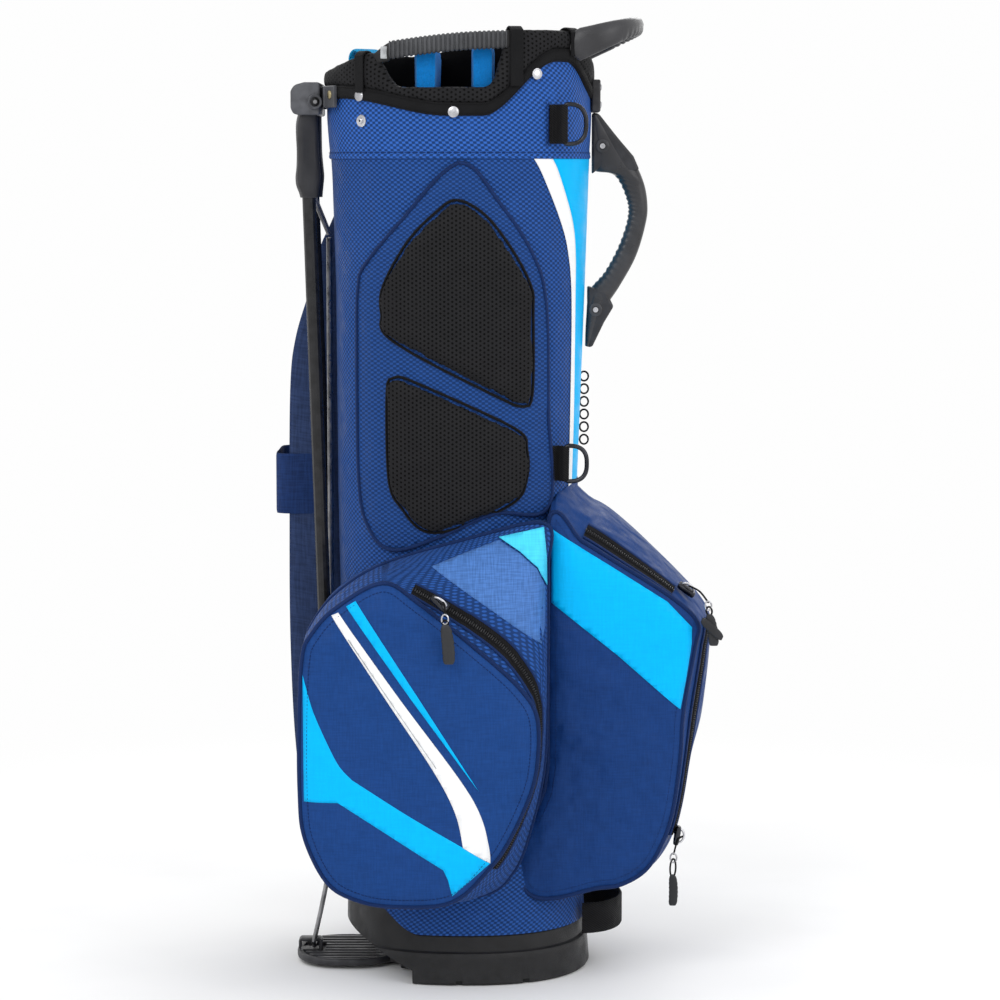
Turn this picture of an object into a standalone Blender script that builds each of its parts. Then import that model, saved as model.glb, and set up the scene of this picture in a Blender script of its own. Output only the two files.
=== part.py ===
"""Golf stand bag, standing upright with its stand closed.

Metres, +Z up. The origin is the centre of the flat bottom of the base. +X is the spine side, with
the carry handle and the ball pocket. -X is the leg side. -Y is the hip side, with the hip pad and
the hip pocket, and +Y is the side of the long apparel pocket.
"""

import math

import bmesh
import bpy
from mathutils import Matrix, Vector

# --- driving dimensions -------------------------------------------------------------------------

GAP = 0.0004  # air between pieces that touch
SIDES = 48  # points round the tube
SECTION_POWER = 2.3  # squareness of the tube's oval

# Height, leg side, spine side and half width of the tube's outline.
TUBE_SECTIONS = (
    (0.000, -0.114, 0.121, 0.110),
    (0.050, -0.112, 0.116, 0.107),
    (0.200, -0.112, 0.107, 0.104),
    (0.450, -0.1165, 0.107, 0.103),
    (0.640, -0.1175, 0.114, 0.106),
    (0.745, -0.1205, 0.1175, 0.110),
    (0.800, -0.1240, 0.1195, 0.113),
    (0.900, -0.1240, 0.1195, 0.113),
)
TUBE_WALL = 0.0025
SEAM_HEIGHT = 0.761  # where the tube's fabric ends and the cuff begins

BASE_WALL = 0.004
BASE_FLOOR = 0.006
BASE_LEDGE_HEIGHT = 0.030
BASE_LEDGE = 0.004
BASE_RIM_SPINE = 0.046
BASE_RIM_LEG = 0.086

PEDAL_AXIS = Vector((-0.053, 0.0, 0.006))
PEDAL_TIP = -0.158
PEDAL_HALF_WIDTH = 0.050
CHAMFER_ANGLE = math.radians(26)
HINGE_LUG = (0.040, 0.052)  # where the base holds the pedal's pin, on both sides

ROD_X = -0.1240
ROD_Y = 0.012
ROD_TOP = 0.690
ROD_RADIUS = 0.0022
ROD_FOOT = Vector((-0.142, 0.0, 0.012))
GUIDE_HEIGHTS = (0.170, 0.184)  # clear of the rod's bend when the rod is up

LEG_PIVOT_X = -0.1400
LEG_PIVOT_Y = 0.030
LEG_PIVOT_Z = 0.812
LEG_SPLAY = math.radians(20)
LEG_RADIUS = 0.0063
LEG_FOOT_X = -0.1215
LEG_FOOT_Z = 0.100
KNUCKLE_LINK_DROP = 0.066
KNUCKLE_LINK_OUT = 0.003
LINK_RADIUS = 0.0018

RING_WIRE = 0.0018

# --- materials ----------------------------------------------------------------------------------

BLUE = ((0.022, 0.075, 0.30), 0.65, 0.0)
NAVY = ((0.020, 0.055, 0.20), 0.60, 0.0)
DEEP_NAVY = ((0.012, 0.030, 0.11), 0.70, 0.0)
FLEECE = ((0.0, 0.22, 0.80), 0.95, 0.0)
MESH_BLACK = ((0.012, 0.012, 0.013), 0.90, 0.0)
WEBBING = ((0.010, 0.010, 0.011), 0.80, 0.0)
PLASTIC = ((0.020, 0.020, 0.022), 0.45, 0.0)
GREY_PLASTIC = ((0.075, 0.080, 0.090), 0.50, 0.0)
RUBBER = ((0.015, 0.015, 0.016), 0.85, 0.0)
STEEL = ((0.45, 0.45, 0.46), 0.35, 1.0)
BLACK_STEEL = ((0.012, 0.012, 0.012), 0.30, 0.6)


def finish_of(finish):
    """The Principled material of one finish, made once."""
    colour, roughness, metallic = finish
    name = "finish_%02d_%02d_%02d_%02d" % tuple(round(99 * v) for v in (*colour, roughness))
    found = bpy.data.materials.get(name)
    if found:
        return found
    made = bpy.data.materials.new(name)
    made.use_nodes = True
    shader = made.node_tree.nodes["Principled BSDF"]
    shader.inputs["Base Color"].default_value = (*colour, 1.0)
    shader.inputs["Roughness"].default_value = roughness
    shader.inputs["Metallic"].default_value = metallic
    return made


# --- building blocks ----------------------------------------------------------------------------


def add_object(name, mesh, finish, pivot=None, smooth=True):
    """An object with its origin at pivot, made of a mesh whose points are in world space."""
    mesh.name = name
    if pivot is not None:
        mesh.transform(Matrix.Translation(-Vector(pivot)))
    if smooth:
        mesh.shade_smooth()
        mesh.set_sharp_from_angle(angle=math.radians(35))
    mesh.materials.append(finish_of(finish))
    made = bpy.data.objects.new(name, mesh)
    if pivot is not None:
        made.location = pivot
    bpy.context.scene.collection.objects.link(made)
    return made


def mesh_from(points, faces):
    """A mesh with its faces turned outwards."""
    shape = bmesh.new()
    corners = [shape.verts.new(p) for p in points]
    for face in faces:
        shape.faces.new([corners[i] for i in face])
    bmesh.ops.recalc_face_normals(shape, faces=shape.faces)
    mesh = bpy.data.meshes.new("shape")
    shape.to_mesh(mesh)
    shape.free()
    return mesh


def loft_mesh(rings, looped=False):
    """Skin over rings of equal length: capped at both ends, or joined end to start when looped."""
    count = len(rings[0])
    points = [p for ring in rings for p in ring]
    faces = []
    steps = len(rings) if looped else len(rings) - 1
    for i in range(steps):
        near, far = i * count, (i + 1) % len(rings) * count
        for j in range(count):
            k = (j + 1) % count
            faces.append((near + j, near + k, far + k, far + j))
    if not looped:
        faces.append(tuple(reversed(range(count))))
        faces.append(tuple(range(len(points) - count, len(points))))
    return mesh_from(points, faces)


def loft(name, rings, finish, looped=False, **more):
    return add_object(name, loft_mesh(rings, looped), finish, **more)


def curved(corners, steps):
    """A closed smooth line through the corners, with the same number of steps between each two."""
    count = len(corners)
    line = []
    for i in range(count):
        a, b, c, d = (Vector(corners[(i + k) % count]) for k in (-1, 0, 1, 2))
        for s in range(steps):
            t = s / steps
            pull = (c - a) * t + (2 * a - 5 * b + 4 * c - d) * t**2 + (3 * b - a - 3 * c + d) * t**3
            line.append(b + 0.5 * pull)
    return line


def prism_mesh(outline, y_near, y_far):
    """An outline given as (x, z), run along Y."""
    rings = [[(p[0], y, p[1]) for p in outline] for y in (y_near, y_far)]
    return loft_mesh(rings)


def prism(name, outline, y_near, y_far, finish, bevel=0.0, **more):
    made = add_object(name, prism_mesh(outline, y_near, y_far), finish, **more)
    if bevel:
        rounded = made.modifiers.new("round", "BEVEL")
        rounded.width = bevel
        rounded.segments = 2
        rounded.limit_method = "ANGLE"
    return made


def box_mesh(low, high):
    outline = ((low[0], low[2]), (high[0], low[2]), (high[0], high[2]), (low[0], high[2]))
    return prism_mesh(outline, low[1], high[1])


def box(name, low, high, finish, bevel=0.0008, **more):
    made = add_object(name, box_mesh(low, high), finish, **more)
    if bevel:
        rounded = made.modifiers.new("round", "BEVEL")
        rounded.width = bevel
        rounded.segments = 1
        rounded.limit_method = "ANGLE"
    return made


def rod_mesh(points, radii, sides=10):
    """A round bar through the points, with a radius at each of them."""
    rings = []
    points = [Vector(p) for p in points]
    ahead = points[1] - points[0]
    side = ahead.orthogonal().normalized()
    for i, point in enumerate(points):
        before = points[max(i - 1, 0)]
        after = points[min(i + 1, len(points) - 1)]
        ahead = (after - before).normalized()
        side = (side - ahead * side.dot(ahead)).normalized()
        across = ahead.cross(side)
        ring = []
        for j in range(sides):
            turn = 2 * math.pi * j / sides
            ring.append(point + radii[i] * (math.cos(turn) * side + math.sin(turn) * across))
        rings.append(ring)
    return loft_mesh(rings)


def rod(name, points, radius, finish, sides=10, **more):
    return add_object(name, rod_mesh(points, [radius] * len(points), sides), finish, **more)


def turned(name, start, end, profile, finish, sides=16, **more):
    """A round piece on the line from start to end: its profile is (share of the length, radius)."""
    start, end = Vector(start), Vector(end)
    points = [start.lerp(end, share) for share, _ in profile]
    return add_object(name, rod_mesh(points, [r for _, r in profile], sides), finish, **more)


def combine(made, mesh, operation):
    """Joins a helper shape to an object, or cuts it away, with a Boolean on the object."""
    helper = bpy.data.objects.new(made.name + "_" + operation.lower(), mesh)
    bpy.context.scene.collection.objects.link(helper)
    helper.hide_render = True
    helper.display_type = "WIRE"
    joined = made.modifiers.new(operation.lower(), "BOOLEAN")
    joined.operation = operation
    joined.object = helper
    return made


# --- the tube's outline -------------------------------------------------------------------------


def section_at(height):
    """Leg side, spine side and half width of the tube at a height."""
    rows = TUBE_SECTIONS
    for low, high in zip(rows, rows[1:]):
        if height <= high[0]:
            share = (height - low[0]) / (high[0] - low[0])
            share = max(0.0, share)
            return [a + (b - a) * share for a, b in zip(low[1:], high[1:])]
    return list(rows[-1][1:])


def wall_point(turn, height, offset=0.0):
    """A point on the tube's oval: turn is 0 at the spine and a quarter turn at +Y."""
    leg, spine, half_width = section_at(height)
    middle, half_length = (leg + spine) / 2, (spine - leg) / 2
    c, s = math.cos(turn), math.sin(turn)
    x = math.copysign(abs(c) ** (2 / SECTION_POWER), c)
    y = math.copysign(abs(s) ** (2 / SECTION_POWER), s)
    return Vector((middle + (half_length + offset) * x, (half_width + offset) * y, height))


def side_y(x, height, offset=0.0):
    """Half width of the tube at a given x."""
    leg, spine, half_width = section_at(height)
    middle, half_length = (leg + spine) / 2, (spine - leg) / 2 + offset
    across = min(1.0, abs(x - middle) / half_length)
    return (half_width + offset) * (1 - across**SECTION_POWER) ** (1 / SECTION_POWER)


def oval(height_of, offset):
    """One ring of points round the tube; height_of gives the height at each (x, y) direction."""
    ring = []
    for i in range(SIDES):
        turn = 2 * math.pi * i / SIDES
        guess = wall_point(turn, SEAM_HEIGHT)
        height = height_of(guess.x, guess.y) if callable(height_of) else height_of
        ring.append(wall_point(turn, height, offset))
    return ring


def band(name, heights, outside, inside, finish):
    """A ring of wall between two offsets, through the heights from its lower to its upper edge."""
    rings = [oval(h, outside) for h in heights]
    rings += [oval(h, inside) for h in reversed(heights)]
    return loft(name, rings, finish, looped=True)


def ease(value, low, high):
    share = min(1.0, max(0.0, (value - low) / (high - low)))
    return share * share * (3 - 2 * share)


def rim_height(x, _y):
    """Upper edge of the base: higher on the leg side."""
    return BASE_RIM_SPINE + (BASE_RIM_LEG - BASE_RIM_SPINE) * ease(-x, 0.045, 0.110)


def trim_height(x, _y):
    """Lower edge of the black trim: it climbs towards the spine, then falls under the lift handle."""
    climb = 0.046 * ease(x, 0.020, 0.088) - 0.038 * ease(x, 0.092, 0.1195)
    return 0.798 + 0.010 * ease(-x, 0.020, 0.100) + climb


def pad_height(x, y):
    """Upper edge of the padded rim, with the hand slot's dip on the hip side."""
    top = 0.835 + 0.025 * ease(x, -0.140, -0.080) + 0.012 * ease(x, -0.075, 0.040)
    top -= 0.036 * ease(x, 0.103, 0.119)
    dip = ease(x, -0.084, -0.066) * (1 - ease(x, 0.036, 0.052)) * ease(-y, 0.0, 0.060)
    return top - (top - 0.828) * dip


# --- base, pedal and stand ----------------------------------------------------------------------

CHAMFER_START = Vector((-0.0455, 0.0, 0.0125))
SLOPE = math.tan(CHAMFER_ANGLE)
PIN_RADIUS = 0.002
PIN_PLAY = 0.0003


def under_slope(lift):
    """Outline of everything below the base's sloping underside, raised by lift."""
    start, far = CHAMFER_START, -0.20
    return (
        (far, -0.01),
        (start.x + lift, -0.01),
        (start.x + lift, start.z + lift),
        (far, start.z + lift + (start.x - far) * SLOPE),
    )


def make_base():
    ledge = BASE_LEDGE_HEIGHT
    rings = [
        oval(0.0, -0.002),
        oval(0.002, 0.0),
        oval(ledge, 0.0),
        oval(ledge + 0.001, -0.003),
        oval(rim_height, -0.003),
    ]
    base = loft("base_shell", rings, PLASTIC)
    hollow_low = oval(BASE_FLOOR, -0.003 - BASE_WALL)
    hollow_high = oval(0.120, -0.003 - BASE_WALL)
    hollow = bpy.data.objects.new("base_hollow", loft_mesh([hollow_low, hollow_high]))
    bpy.context.scene.collection.objects.link(hollow)
    hollow.hide_render = True
    hollow.display_type = "WIRE"
    combine(hollow, prism_mesh(under_slope(BASE_WALL), -0.15, 0.15), "DIFFERENCE")
    combine(base, prism_mesh(under_slope(0.0), -0.15, 0.15), "DIFFERENCE")
    cut = base.modifiers.new("hollow", "BOOLEAN")
    cut.object = hollow
    low, high = HINGE_LUG
    for side in (-1, 1):
        near, far = sorted((side * low, side * high))
        lug = box_mesh((PEDAL_AXIS.x - 0.005, near, 0.0012), (CHAMFER_START.x + 0.003, far, 0.0145))
        combine(base, lug, "UNION")
    hole = rod_mesh([(PEDAL_AXIS.x, y, PEDAL_AXIS.z) for y in (-0.06, 0.06)], [PIN_RADIUS + PIN_PLAY] * 2, 12)
    combine(base, hole, "DIFFERENCE")
    ends = [(PEDAL_AXIS.x, y, PEDAL_AXIS.z) for y in (-high, high)]
    rod("pedal_pin", ends, PIN_RADIUS, STEEL, 12)


def make_pedal():
    """An oval foot plate that hinges at its inner end and carries the rod in a slotted lug."""
    low, high = PEDAL_TIP, PEDAL_AXIS.x - 0.006
    middle, half = (low + high) / 2, (high - low) / 2
    outline = []
    for i in range(28):
        turn = 2 * math.pi * i / 28
        c, s = math.cos(turn), math.sin(turn)
        x = middle + half * math.copysign(abs(c) ** 0.8, c)
        y = PEDAL_HALF_WIDTH * math.copysign(abs(s) ** 0.8, s)
        outline.append((x, y))
    rings = [[(x, y, z) for x, y in outline] for z in (0.003, 0.0095)]
    pedal = loft("pedal", rings, PLASTIC, pivot=PEDAL_AXIS)
    reach = HINGE_LUG[0] - 0.0006
    arm = box_mesh((high - 0.02, -reach + 0.004, 0.0032), (PEDAL_AXIS.x, reach - 0.004, 0.0093))
    combine(pedal, arm, "UNION")
    barrel = rod_mesh([(PEDAL_AXIS.x, y, PEDAL_AXIS.z) for y in (-reach, reach)], [0.0042] * 2, 14)
    combine(pedal, barrel, "UNION")
    lug = prism_mesh(((-0.157, 0.006), (-0.134, 0.006), (-0.134, 0.019), (-0.157, 0.019)), -0.007, 0.007)
    combine(pedal, lug, "UNION")
    track = ((-0.1545, 0.0085), (-0.1375, 0.0085), (-0.1375, 0.0160), (-0.1545, 0.0160))
    slot = prism_mesh(track, -0.02, 0.02)
    combine(pedal, slot, "DIFFERENCE")
    hole = rod_mesh([(PEDAL_AXIS.x, y, PEDAL_AXIS.z) for y in (-0.06, 0.06)], [PIN_RADIUS + PIN_PLAY] * 2, 12)
    combine(pedal, hole, "DIFFERENCE")


def make_rod():
    """One spring steel wire: down one side, across through the pedal's lug, and up the other."""
    down = [
        Vector((ROD_X, -ROD_Y, ROD_TOP - 0.003)),
        Vector((ROD_X, -ROD_Y, 0.400)),
        Vector((ROD_X, -ROD_Y, 0.125)),
        Vector((ROD_X - 0.0015, -ROD_Y, 0.100)),
        Vector((-0.1295, -ROD_Y, 0.075)),
        Vector((-0.1350, -ROD_Y, 0.048)),
        Vector((-0.1400, -ROD_Y, 0.026)),
        Vector((ROD_FOOT.x, -ROD_Y, 0.0175)),
        Vector((ROD_FOOT.x, -ROD_Y + 0.0022, 0.0135)),
        Vector((ROD_FOOT.x, -ROD_Y + 0.0062, 0.0121)),
    ]
    up = [Vector((p.x, -p.y, p.z)) for p in reversed(down)]
    rod("actuator_rod", down + up, ROD_RADIUS, STEEL, 8)
    low, high = GUIDE_HEIGHTS
    block = box("rod_guide", (-0.1285, -0.0190, low), (-0.1135, 0.0190, high), PLASTIC)
    for side in (-1, 1):
        ends = [(ROD_X, side * ROD_Y, z) for z in (low - 0.01, high + 0.01)]
        combine(block, rod_mesh(ends, [ROD_RADIUS + 0.0005] * 2, 10), "DIFFERENCE")


def leg_frame(side):
    """Frame of a leg's hinge: origin on its pivot, x towards the bag and y along the hinge pin."""
    place = Matrix.Translation((LEG_PIVOT_X, side * LEG_PIVOT_Y, LEG_PIVOT_Z))
    return place @ Matrix.Rotation(-side * LEG_SPLAY, 4, "Z")


def moved(mesh, matrix):
    mesh.transform(matrix)
    return mesh


KNUCKLE_HALF = 0.0062
BOSS_RADIUS = 0.0075
LEG_PIN_RADIUS = 0.0025


def make_leg(side, word):
    frame = leg_frame(side)
    pivot = frame.translation
    outline = (
        (-0.0070, 0.000), (-0.0125, -0.022), (-0.0130, -0.078), (-0.0095, -0.087),
        (0.0085, -0.087), (0.0095, -0.070), (0.0070, -0.012), (0.0060, 0.000),
    )
    shape = moved(prism_mesh(outline, -KNUCKLE_HALF, KNUCKLE_HALF), frame)
    knuckle = add_object("leg_knuckle_" + word, shape, PLASTIC, pivot=pivot)
    boss = rod_mesh([(0, -KNUCKLE_HALF, 0), (0, KNUCKLE_HALF, 0)], [BOSS_RADIUS] * 2, 18)
    combine(knuckle, moved(boss, frame), "UNION")
    inner = -side * KNUCKLE_HALF
    stud = [(-KNUCKLE_LINK_OUT, inner + side * y, -KNUCKLE_LINK_DROP) for y in (0.0010, -0.0012)]
    combine(knuckle, moved(rod_mesh(stud, [0.0030] * 2, 12), frame), "UNION")
    hole = rod_mesh([(0, -0.02, 0), (0, 0.02, 0)], [LEG_PIN_RADIUS + PIN_PLAY] * 2, 12)
    combine(knuckle, moved(hole, frame), "DIFFERENCE")
    outward = side * 0.0175
    ends = [frame @ Vector((0, -outward * 0.86, 0)), frame @ Vector((0, outward, 0))]
    rod("leg_pin_" + word, ends, LEG_PIN_RADIUS, STEEL, 12)
    top = frame @ Vector((-0.001, 0, -0.0874))
    foot = Vector((LEG_FOOT_X, side * LEG_PIVOT_Y, LEG_FOOT_Z))
    ankle = top.lerp(foot, 0.94)
    rod("leg_tube_" + word, [top, ankle], LEG_RADIUS, BLACK_STEEL, 14, pivot=pivot)
    start = ankle + (foot - ankle).normalized() * GAP
    profile = ((0.0, 0.0068), (0.1, 0.0076), (0.7, 0.0080), (0.9, 0.0068), (1.0, 0.0040))
    turned("leg_foot_" + word, start, foot, profile, RUBBER, 14, pivot=pivot)


def make_link(side, word):
    """Wire from the rod's top towards the knuckle's stud."""
    out = Vector((-math.cos(LEG_SPLAY), side * math.sin(LEG_SPLAY), 0))
    low = Vector((ROD_X, side * ROD_Y, ROD_TOP))
    reach = (ROD_X - LEG_PIVOT_X) * math.cos(LEG_SPLAY) + (LEG_PIVOT_Y - ROD_Y) * math.sin(LEG_SPLAY)
    rise = LEG_PIVOT_Z - KNUCKLE_LINK_DROP - ROD_TOP
    high = low + (reach + KNUCKLE_LINK_OUT) * out + Vector((0, 0, rise))
    rod("link_wire_" + word, [low, high], LINK_RADIUS, STEEL, 8, pivot=low)


def make_stand():
    housing = box("stand_housing", (-0.1568, -0.045, 0.800), (-0.1296, 0.045, 0.830), GREY_PLASTIC, 0)
    for side in (-1, 1):
        slot = box_mesh((-0.035, -0.0072, -0.020), (BOSS_RADIUS + 0.0008, 0.0072, BOSS_RADIUS + 0.0008))
        combine(housing, moved(slot, leg_frame(side)), "DIFFERENCE")
        inner, outer = sorted((-side * 0.0154, side * 0.024))
        hole = rod_mesh([(0, inner, 0), (0, outer, 0)], [LEG_PIN_RADIUS + PIN_PLAY] * 2, 12)
        combine(housing, moved(hole, leg_frame(side)), "DIFFERENCE")
    for side, word in ((-1, "near"), (1, "far")):
        make_leg(side, word)
        make_link(side, word)


# --- tube, mouth and inside ---------------------------------------------------------------------

TRIM_TALL = 0.012
DIVIDER_PLACES = (-0.031, 0.020, 0.071)
DIVIDER_NAMES = ("leg", "middle", "spine")


def above(height_of, lift):
    return lambda x, y: height_of(x, y) + lift


def make_tube():
    heights = [above(rim_height, GAP), 0.100, 0.200, 0.330, 0.450, 0.640, SEAM_HEIGHT - GAP / 2]
    band("bag_tube", heights, 0.0, -TUBE_WALL, BLUE)
    for turn, low, word in ((35, 0.0075, "hip"), (-35, 0.0075, "pocket"), (180, 0.100, "leg")):
        heights = [low, 0.050, 0.200, 0.450, 0.640, 0.715]
        points = [wall_point(math.radians(-turn), z, -0.0120) for z in heights if z >= low]
        rod("stay_" + word, points, 0.0035, GREY_PLASTIC, 8)


def make_mouth():
    cuff = [SEAM_HEIGHT + GAP / 2, 0.780, above(trim_height, -GAP)]
    band("top_cuff", cuff, 0.001, -0.0025, BLUE)
    frame = [0.700, 0.750, above(trim_height, -GAP)]
    band("collar_frame", frame, -0.0030, -0.0075, PLASTIC)
    trim = [trim_height, above(trim_height, TRIM_TALL)]
    band("collar_trim", trim, 0.003, -0.0075, WEBBING)
    pad = [above(trim_height, TRIM_TALL + 2 * GAP), pad_height]
    band("collar_pad", pad, 0.0045, -0.0085, MESH_BLACK)


def make_dividers():
    """A fleece-covered grid that makes seven compartments, with three panels down to the base."""
    grid = None
    for x, word in zip(DIVIDER_PLACES, DIVIDER_NAMES):
        reach = min(side_y(x + edge, 0.820, -0.0095) for edge in (-0.0095, 0.0095)) - 0.0005
        rings = []
        for share in (-1, -0.6, 0, 0.6, 1):
            top = 0.862 - 0.006 * share * share
            section = []
            for i in range(12):
                turn = 2 * math.pi * i / 12
                lift = 0.0 if math.sin(turn) < 0 else top - 0.812 - 0.018
                section.append((x + 0.0095 * math.cos(turn), 0.826 + 0.009 * math.sin(turn) + lift))
            rings.append([(px, share * reach, pz) for px, pz in section])
        mesh = loft_mesh(rings)
        if grid is None:
            grid = add_object("divider_grid", mesh, FLEECE)
        else:
            combine(grid, mesh, "UNION")
        width = min(side_y(x, h, -0.0135) for h in (0.03, 0.10, 0.20, 0.45, 0.64, 0.80))
        box("divider_panel_" + word, (x - 0.001, -width, 0.012), (x + 0.001, width, 0.8155), FLEECE, 0)
    rail = box_mesh((-0.1085, -0.0085, 0.8165), (DIVIDER_PLACES[-1], 0.0085, 0.829))
    combine(grid, rail, "UNION")


def make_grip():
    rings = []
    for i in range(9):
        share = i / 8
        x = -0.074 + 0.118 * share
        middle = 0.855 + 0.011 * math.sin(share * math.pi / 2)
        y = -side_y(x, 0.850, -0.002)
        section = []
        for j in range(12):
            turn = 2 * math.pi * j / 12
            section.append((x, y + 0.0065 * math.cos(turn), middle + 0.0085 * math.sin(turn)))
        rings.append(section)
    loft("rim_grip", rings, GREY_PLASTIC)


def make_lift_handle():
    """A loop of moulded grip that stands out from the rim on the spine side."""
    rings = []
    for i in range(15):
        turn = -math.pi / 2 + math.pi * i / 14
        reach = math.cos(turn) ** 0.6 if 0 < i < 14 else 0.0
        centre = Vector((0.1080 + 0.0553 * reach, 0.0725 * math.sin(turn), 0.8630 + 0.0190 * reach))
        ahead = Vector((-0.0553 * math.sin(turn), 0.0725 * math.cos(turn), 0)).normalized()
        outward = Vector((ahead.y, -ahead.x, 0))
        tall = 0.0155 - 0.0070 * reach
        section = []
        for j in range(12):
            spin = 2 * math.pi * j / 12
            section.append(centre + 0.0055 * math.cos(spin) * outward + Vector((0, 0, tall * math.sin(spin))))
        rings.append(section)
    loft("lift_handle", rings, RUBBER)
    box("lift_handle_mount", (0.1245, -0.024, 0.8035), (0.1283, 0.024, 0.8430), PLASTIC)


def make_carry_handle():
    stations = (
        ((0.1262, 0.8010), (0.1216, 0.7995)), ((0.1450, 0.7780), (0.1216, 0.7700)),
        ((0.1605, 0.7585), (0.1230, 0.7500)), ((0.1700, 0.7380), (0.1420, 0.7450)),
        ((0.1735, 0.7180), (0.1535, 0.7230)), ((0.1720, 0.7000), (0.1545, 0.7050)),
        ((0.1630, 0.6697), (0.1465, 0.6800)), ((0.1480, 0.6420), (0.1340, 0.6560)),
        ((0.1335, 0.6200), (0.1195, 0.6370)), ((0.1260, 0.6020), (0.1165, 0.6120)),
        ((0.1195, 0.5850), (0.1155, 0.5860)),
    )
    rings = []
    for outer, inner in stations:
        out, inn = Vector((outer[0], 0, outer[1])), Vector((inner[0], 0, inner[1]))
        section = []
        for share, y in ((0, -0.7), (0.2, -1), (0.8, -1), (1, -0.7), (1, 0.7), (0.8, 1), (0.2, 1), (0, 0.7)):
            section.append(out.lerp(inn, share) + Vector((0, 0.012 * y, 0)))
        rings.append(section)
    handle = loft("carry_handle", rings, PLASTIC)
    for word, place in (("upper", (0.1310, 0.7720)), ("lower", (0.1250, 0.6200))):
        ends = [(place[0], y, place[1]) for y in (-0.0126, 0.0126)]
        through = [(place[0], y, place[1]) for y in (-0.02, 0.02)]
        combine(handle, rod_mesh(through, [0.0028] * 2, 12), "DIFFERENCE")
        rod("handle_screw_" + word, ends, 0.0025, STEEL, 12)


# --- rings, loops and rivets --------------------------------------------------------------------


def loop_mesh(path, across, thick, flat):
    """A closed flat ring of wire or webbing: across points out of its plane."""
    rings = []
    count = len(path)
    for i, point in enumerate(path):
        ahead = (path[(i + 1) % count] - path[i - 1]).normalized()
        out = ahead.cross(across)
        section = []
        for j in range(8):
            turn = 2 * math.pi * j / 8
            section.append(point + thick * math.cos(turn) * out + flat * math.sin(turn) * across)
        rings.append(section)
    return loft_mesh(rings, looped=True)


def make_d_ring(word, axis, low, high):
    """A D-shaped ring whose straight side is held by a webbing tab."""
    half = (high - low) / 2 - RING_WIRE
    middle = Vector((axis[0], axis[1], (low + high) / 2))
    path = [middle + Vector((0, 0, half * share)) for share in (-0.9, -0.45, 0, 0.45, 0.9)]
    for i in range(11):
        turn = math.pi / 2 - math.pi * i / 10
        path.append(middle + Vector((0.004 + 0.0165 * math.cos(turn), 0, half * math.sin(turn))))
    mesh = loop_mesh(path, Vector((0, 1, 0)), RING_WIRE, RING_WIRE)
    add_object("d_ring_" + word, mesh, BLACK_STEEL, pivot=middle)
    front = axis[1] + 0.0002
    corners = [(axis[0] - 0.0115, front - 0.0012, low), (axis[0] - 0.0030, front + 0.0012, high)]
    box("d_ring_tab_" + word, *corners, WEBBING)


def ribbon(name, path, low, high, thick, finish):
    """Webbing on edge: it follows the path in plan and stands from low to high."""
    rings = []
    for i, point in enumerate(path):
        before, after = path[max(i - 1, 0)], path[min(i + 1, len(path) - 1)]
        ahead = (after - before).normalized()
        out = Vector((ahead.y, -ahead.x, 0)) * thick / 2
        feet = [Vector((point.x, point.y, z)) for z in (low, high)]
        rings.append([feet[0] - out, feet[0] + out, feet[1] + out, feet[1] - out])
    return loft(name, rings, finish, smooth=False)


def make_trimmings():
    make_d_ring("upper", (0.0935, -0.0918), 0.7710, 0.8110)
    make_d_ring("lower", (0.0955, -0.0730), 0.4630, 0.5000)
    path = []
    for i in range(9):
        turn = -math.pi / 2 + math.pi * i / 8
        path.append(Vector((0.1130 + 0.0380 * math.cos(turn), 0.050 * math.sin(turn), 0)))
    ribbon("grab_loop", path, 0.0350, 0.0640, 0.0024, WEBBING)
    turns, steps = 6, 10
    coil = []
    for i in range(turns * steps + 1):
        spin = 2 * math.pi * i / steps
        height = 0.492 + 0.068 * i / (turns * steps)
        coil.append((0.1145 + 0.0030 * math.cos(spin), 0.018 + 0.0030 * math.sin(spin), height))
    rod("tee_loops", coil, 0.0010, RUBBER, 6)
    for word, degrees in (("leg", -146), ("hip", -94), ("corner", -47), ("far", 94), ("snap", -138)):
        turn = math.radians(degrees)
        ground = wall_point(turn, 0.8, 0.003)
        height = trim_height(ground.x, ground.y) + (TRIM_TALL / 2 if word != "snap" else -0.012)
        offset = 0.0034 if word != "snap" else 0.0014
        start = wall_point(turn, height, offset)
        ahead = wall_point(turn + 0.02, height, offset) - wall_point(turn - 0.02, height, offset)
        normal = Vector((ahead.y, -ahead.x, 0)).normalized()
        profile = ((0.0, 0.0048), (0.45, 0.0050), (1.0, 0.0030))
        turned("rivet_" + word, start, start + 0.0018 * normal, profile, STEEL, 12)


# --- hip pad ------------------------------------------------------------------------------------

PAD_OUTLINE = (
    (-0.0010, 0.7565), (0.0375, 0.7167), (0.0650, 0.6720), (0.0762, 0.6290), (0.0785, 0.5300),
    (0.0790, 0.4420), (0.0305, 0.4385), (-0.0200, 0.4170), (-0.0620, 0.4040), (-0.0843, 0.4250),
    (-0.0925, 0.4708), (-0.0935, 0.6000), (-0.0919, 0.6443), (-0.0863, 0.6630), (-0.0549, 0.7016),
)
UPPER_MESH = (
    (-0.0028, 0.7230), (0.0230, 0.7090), (0.0480, 0.6760), (0.0640, 0.6440), (0.0655, 0.6200),
    (0.0650, 0.5480), (0.0565, 0.5360), (0.0300, 0.5470), (-0.0620, 0.5960), (-0.0715, 0.6200),
    (-0.0700, 0.6450), (-0.0480, 0.6850), (-0.0220, 0.7120),
)
LOWER_MESH = (
    (-0.0610, 0.5620), (-0.0400, 0.5580), (0.0480, 0.5170), (0.0600, 0.4960), (0.0600, 0.4700),
    (0.0480, 0.4480), (-0.0050, 0.4250), (-0.0340, 0.4230), (-0.0530, 0.4420), (-0.0655, 0.4680),
    (-0.0670, 0.5480),
)


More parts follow.
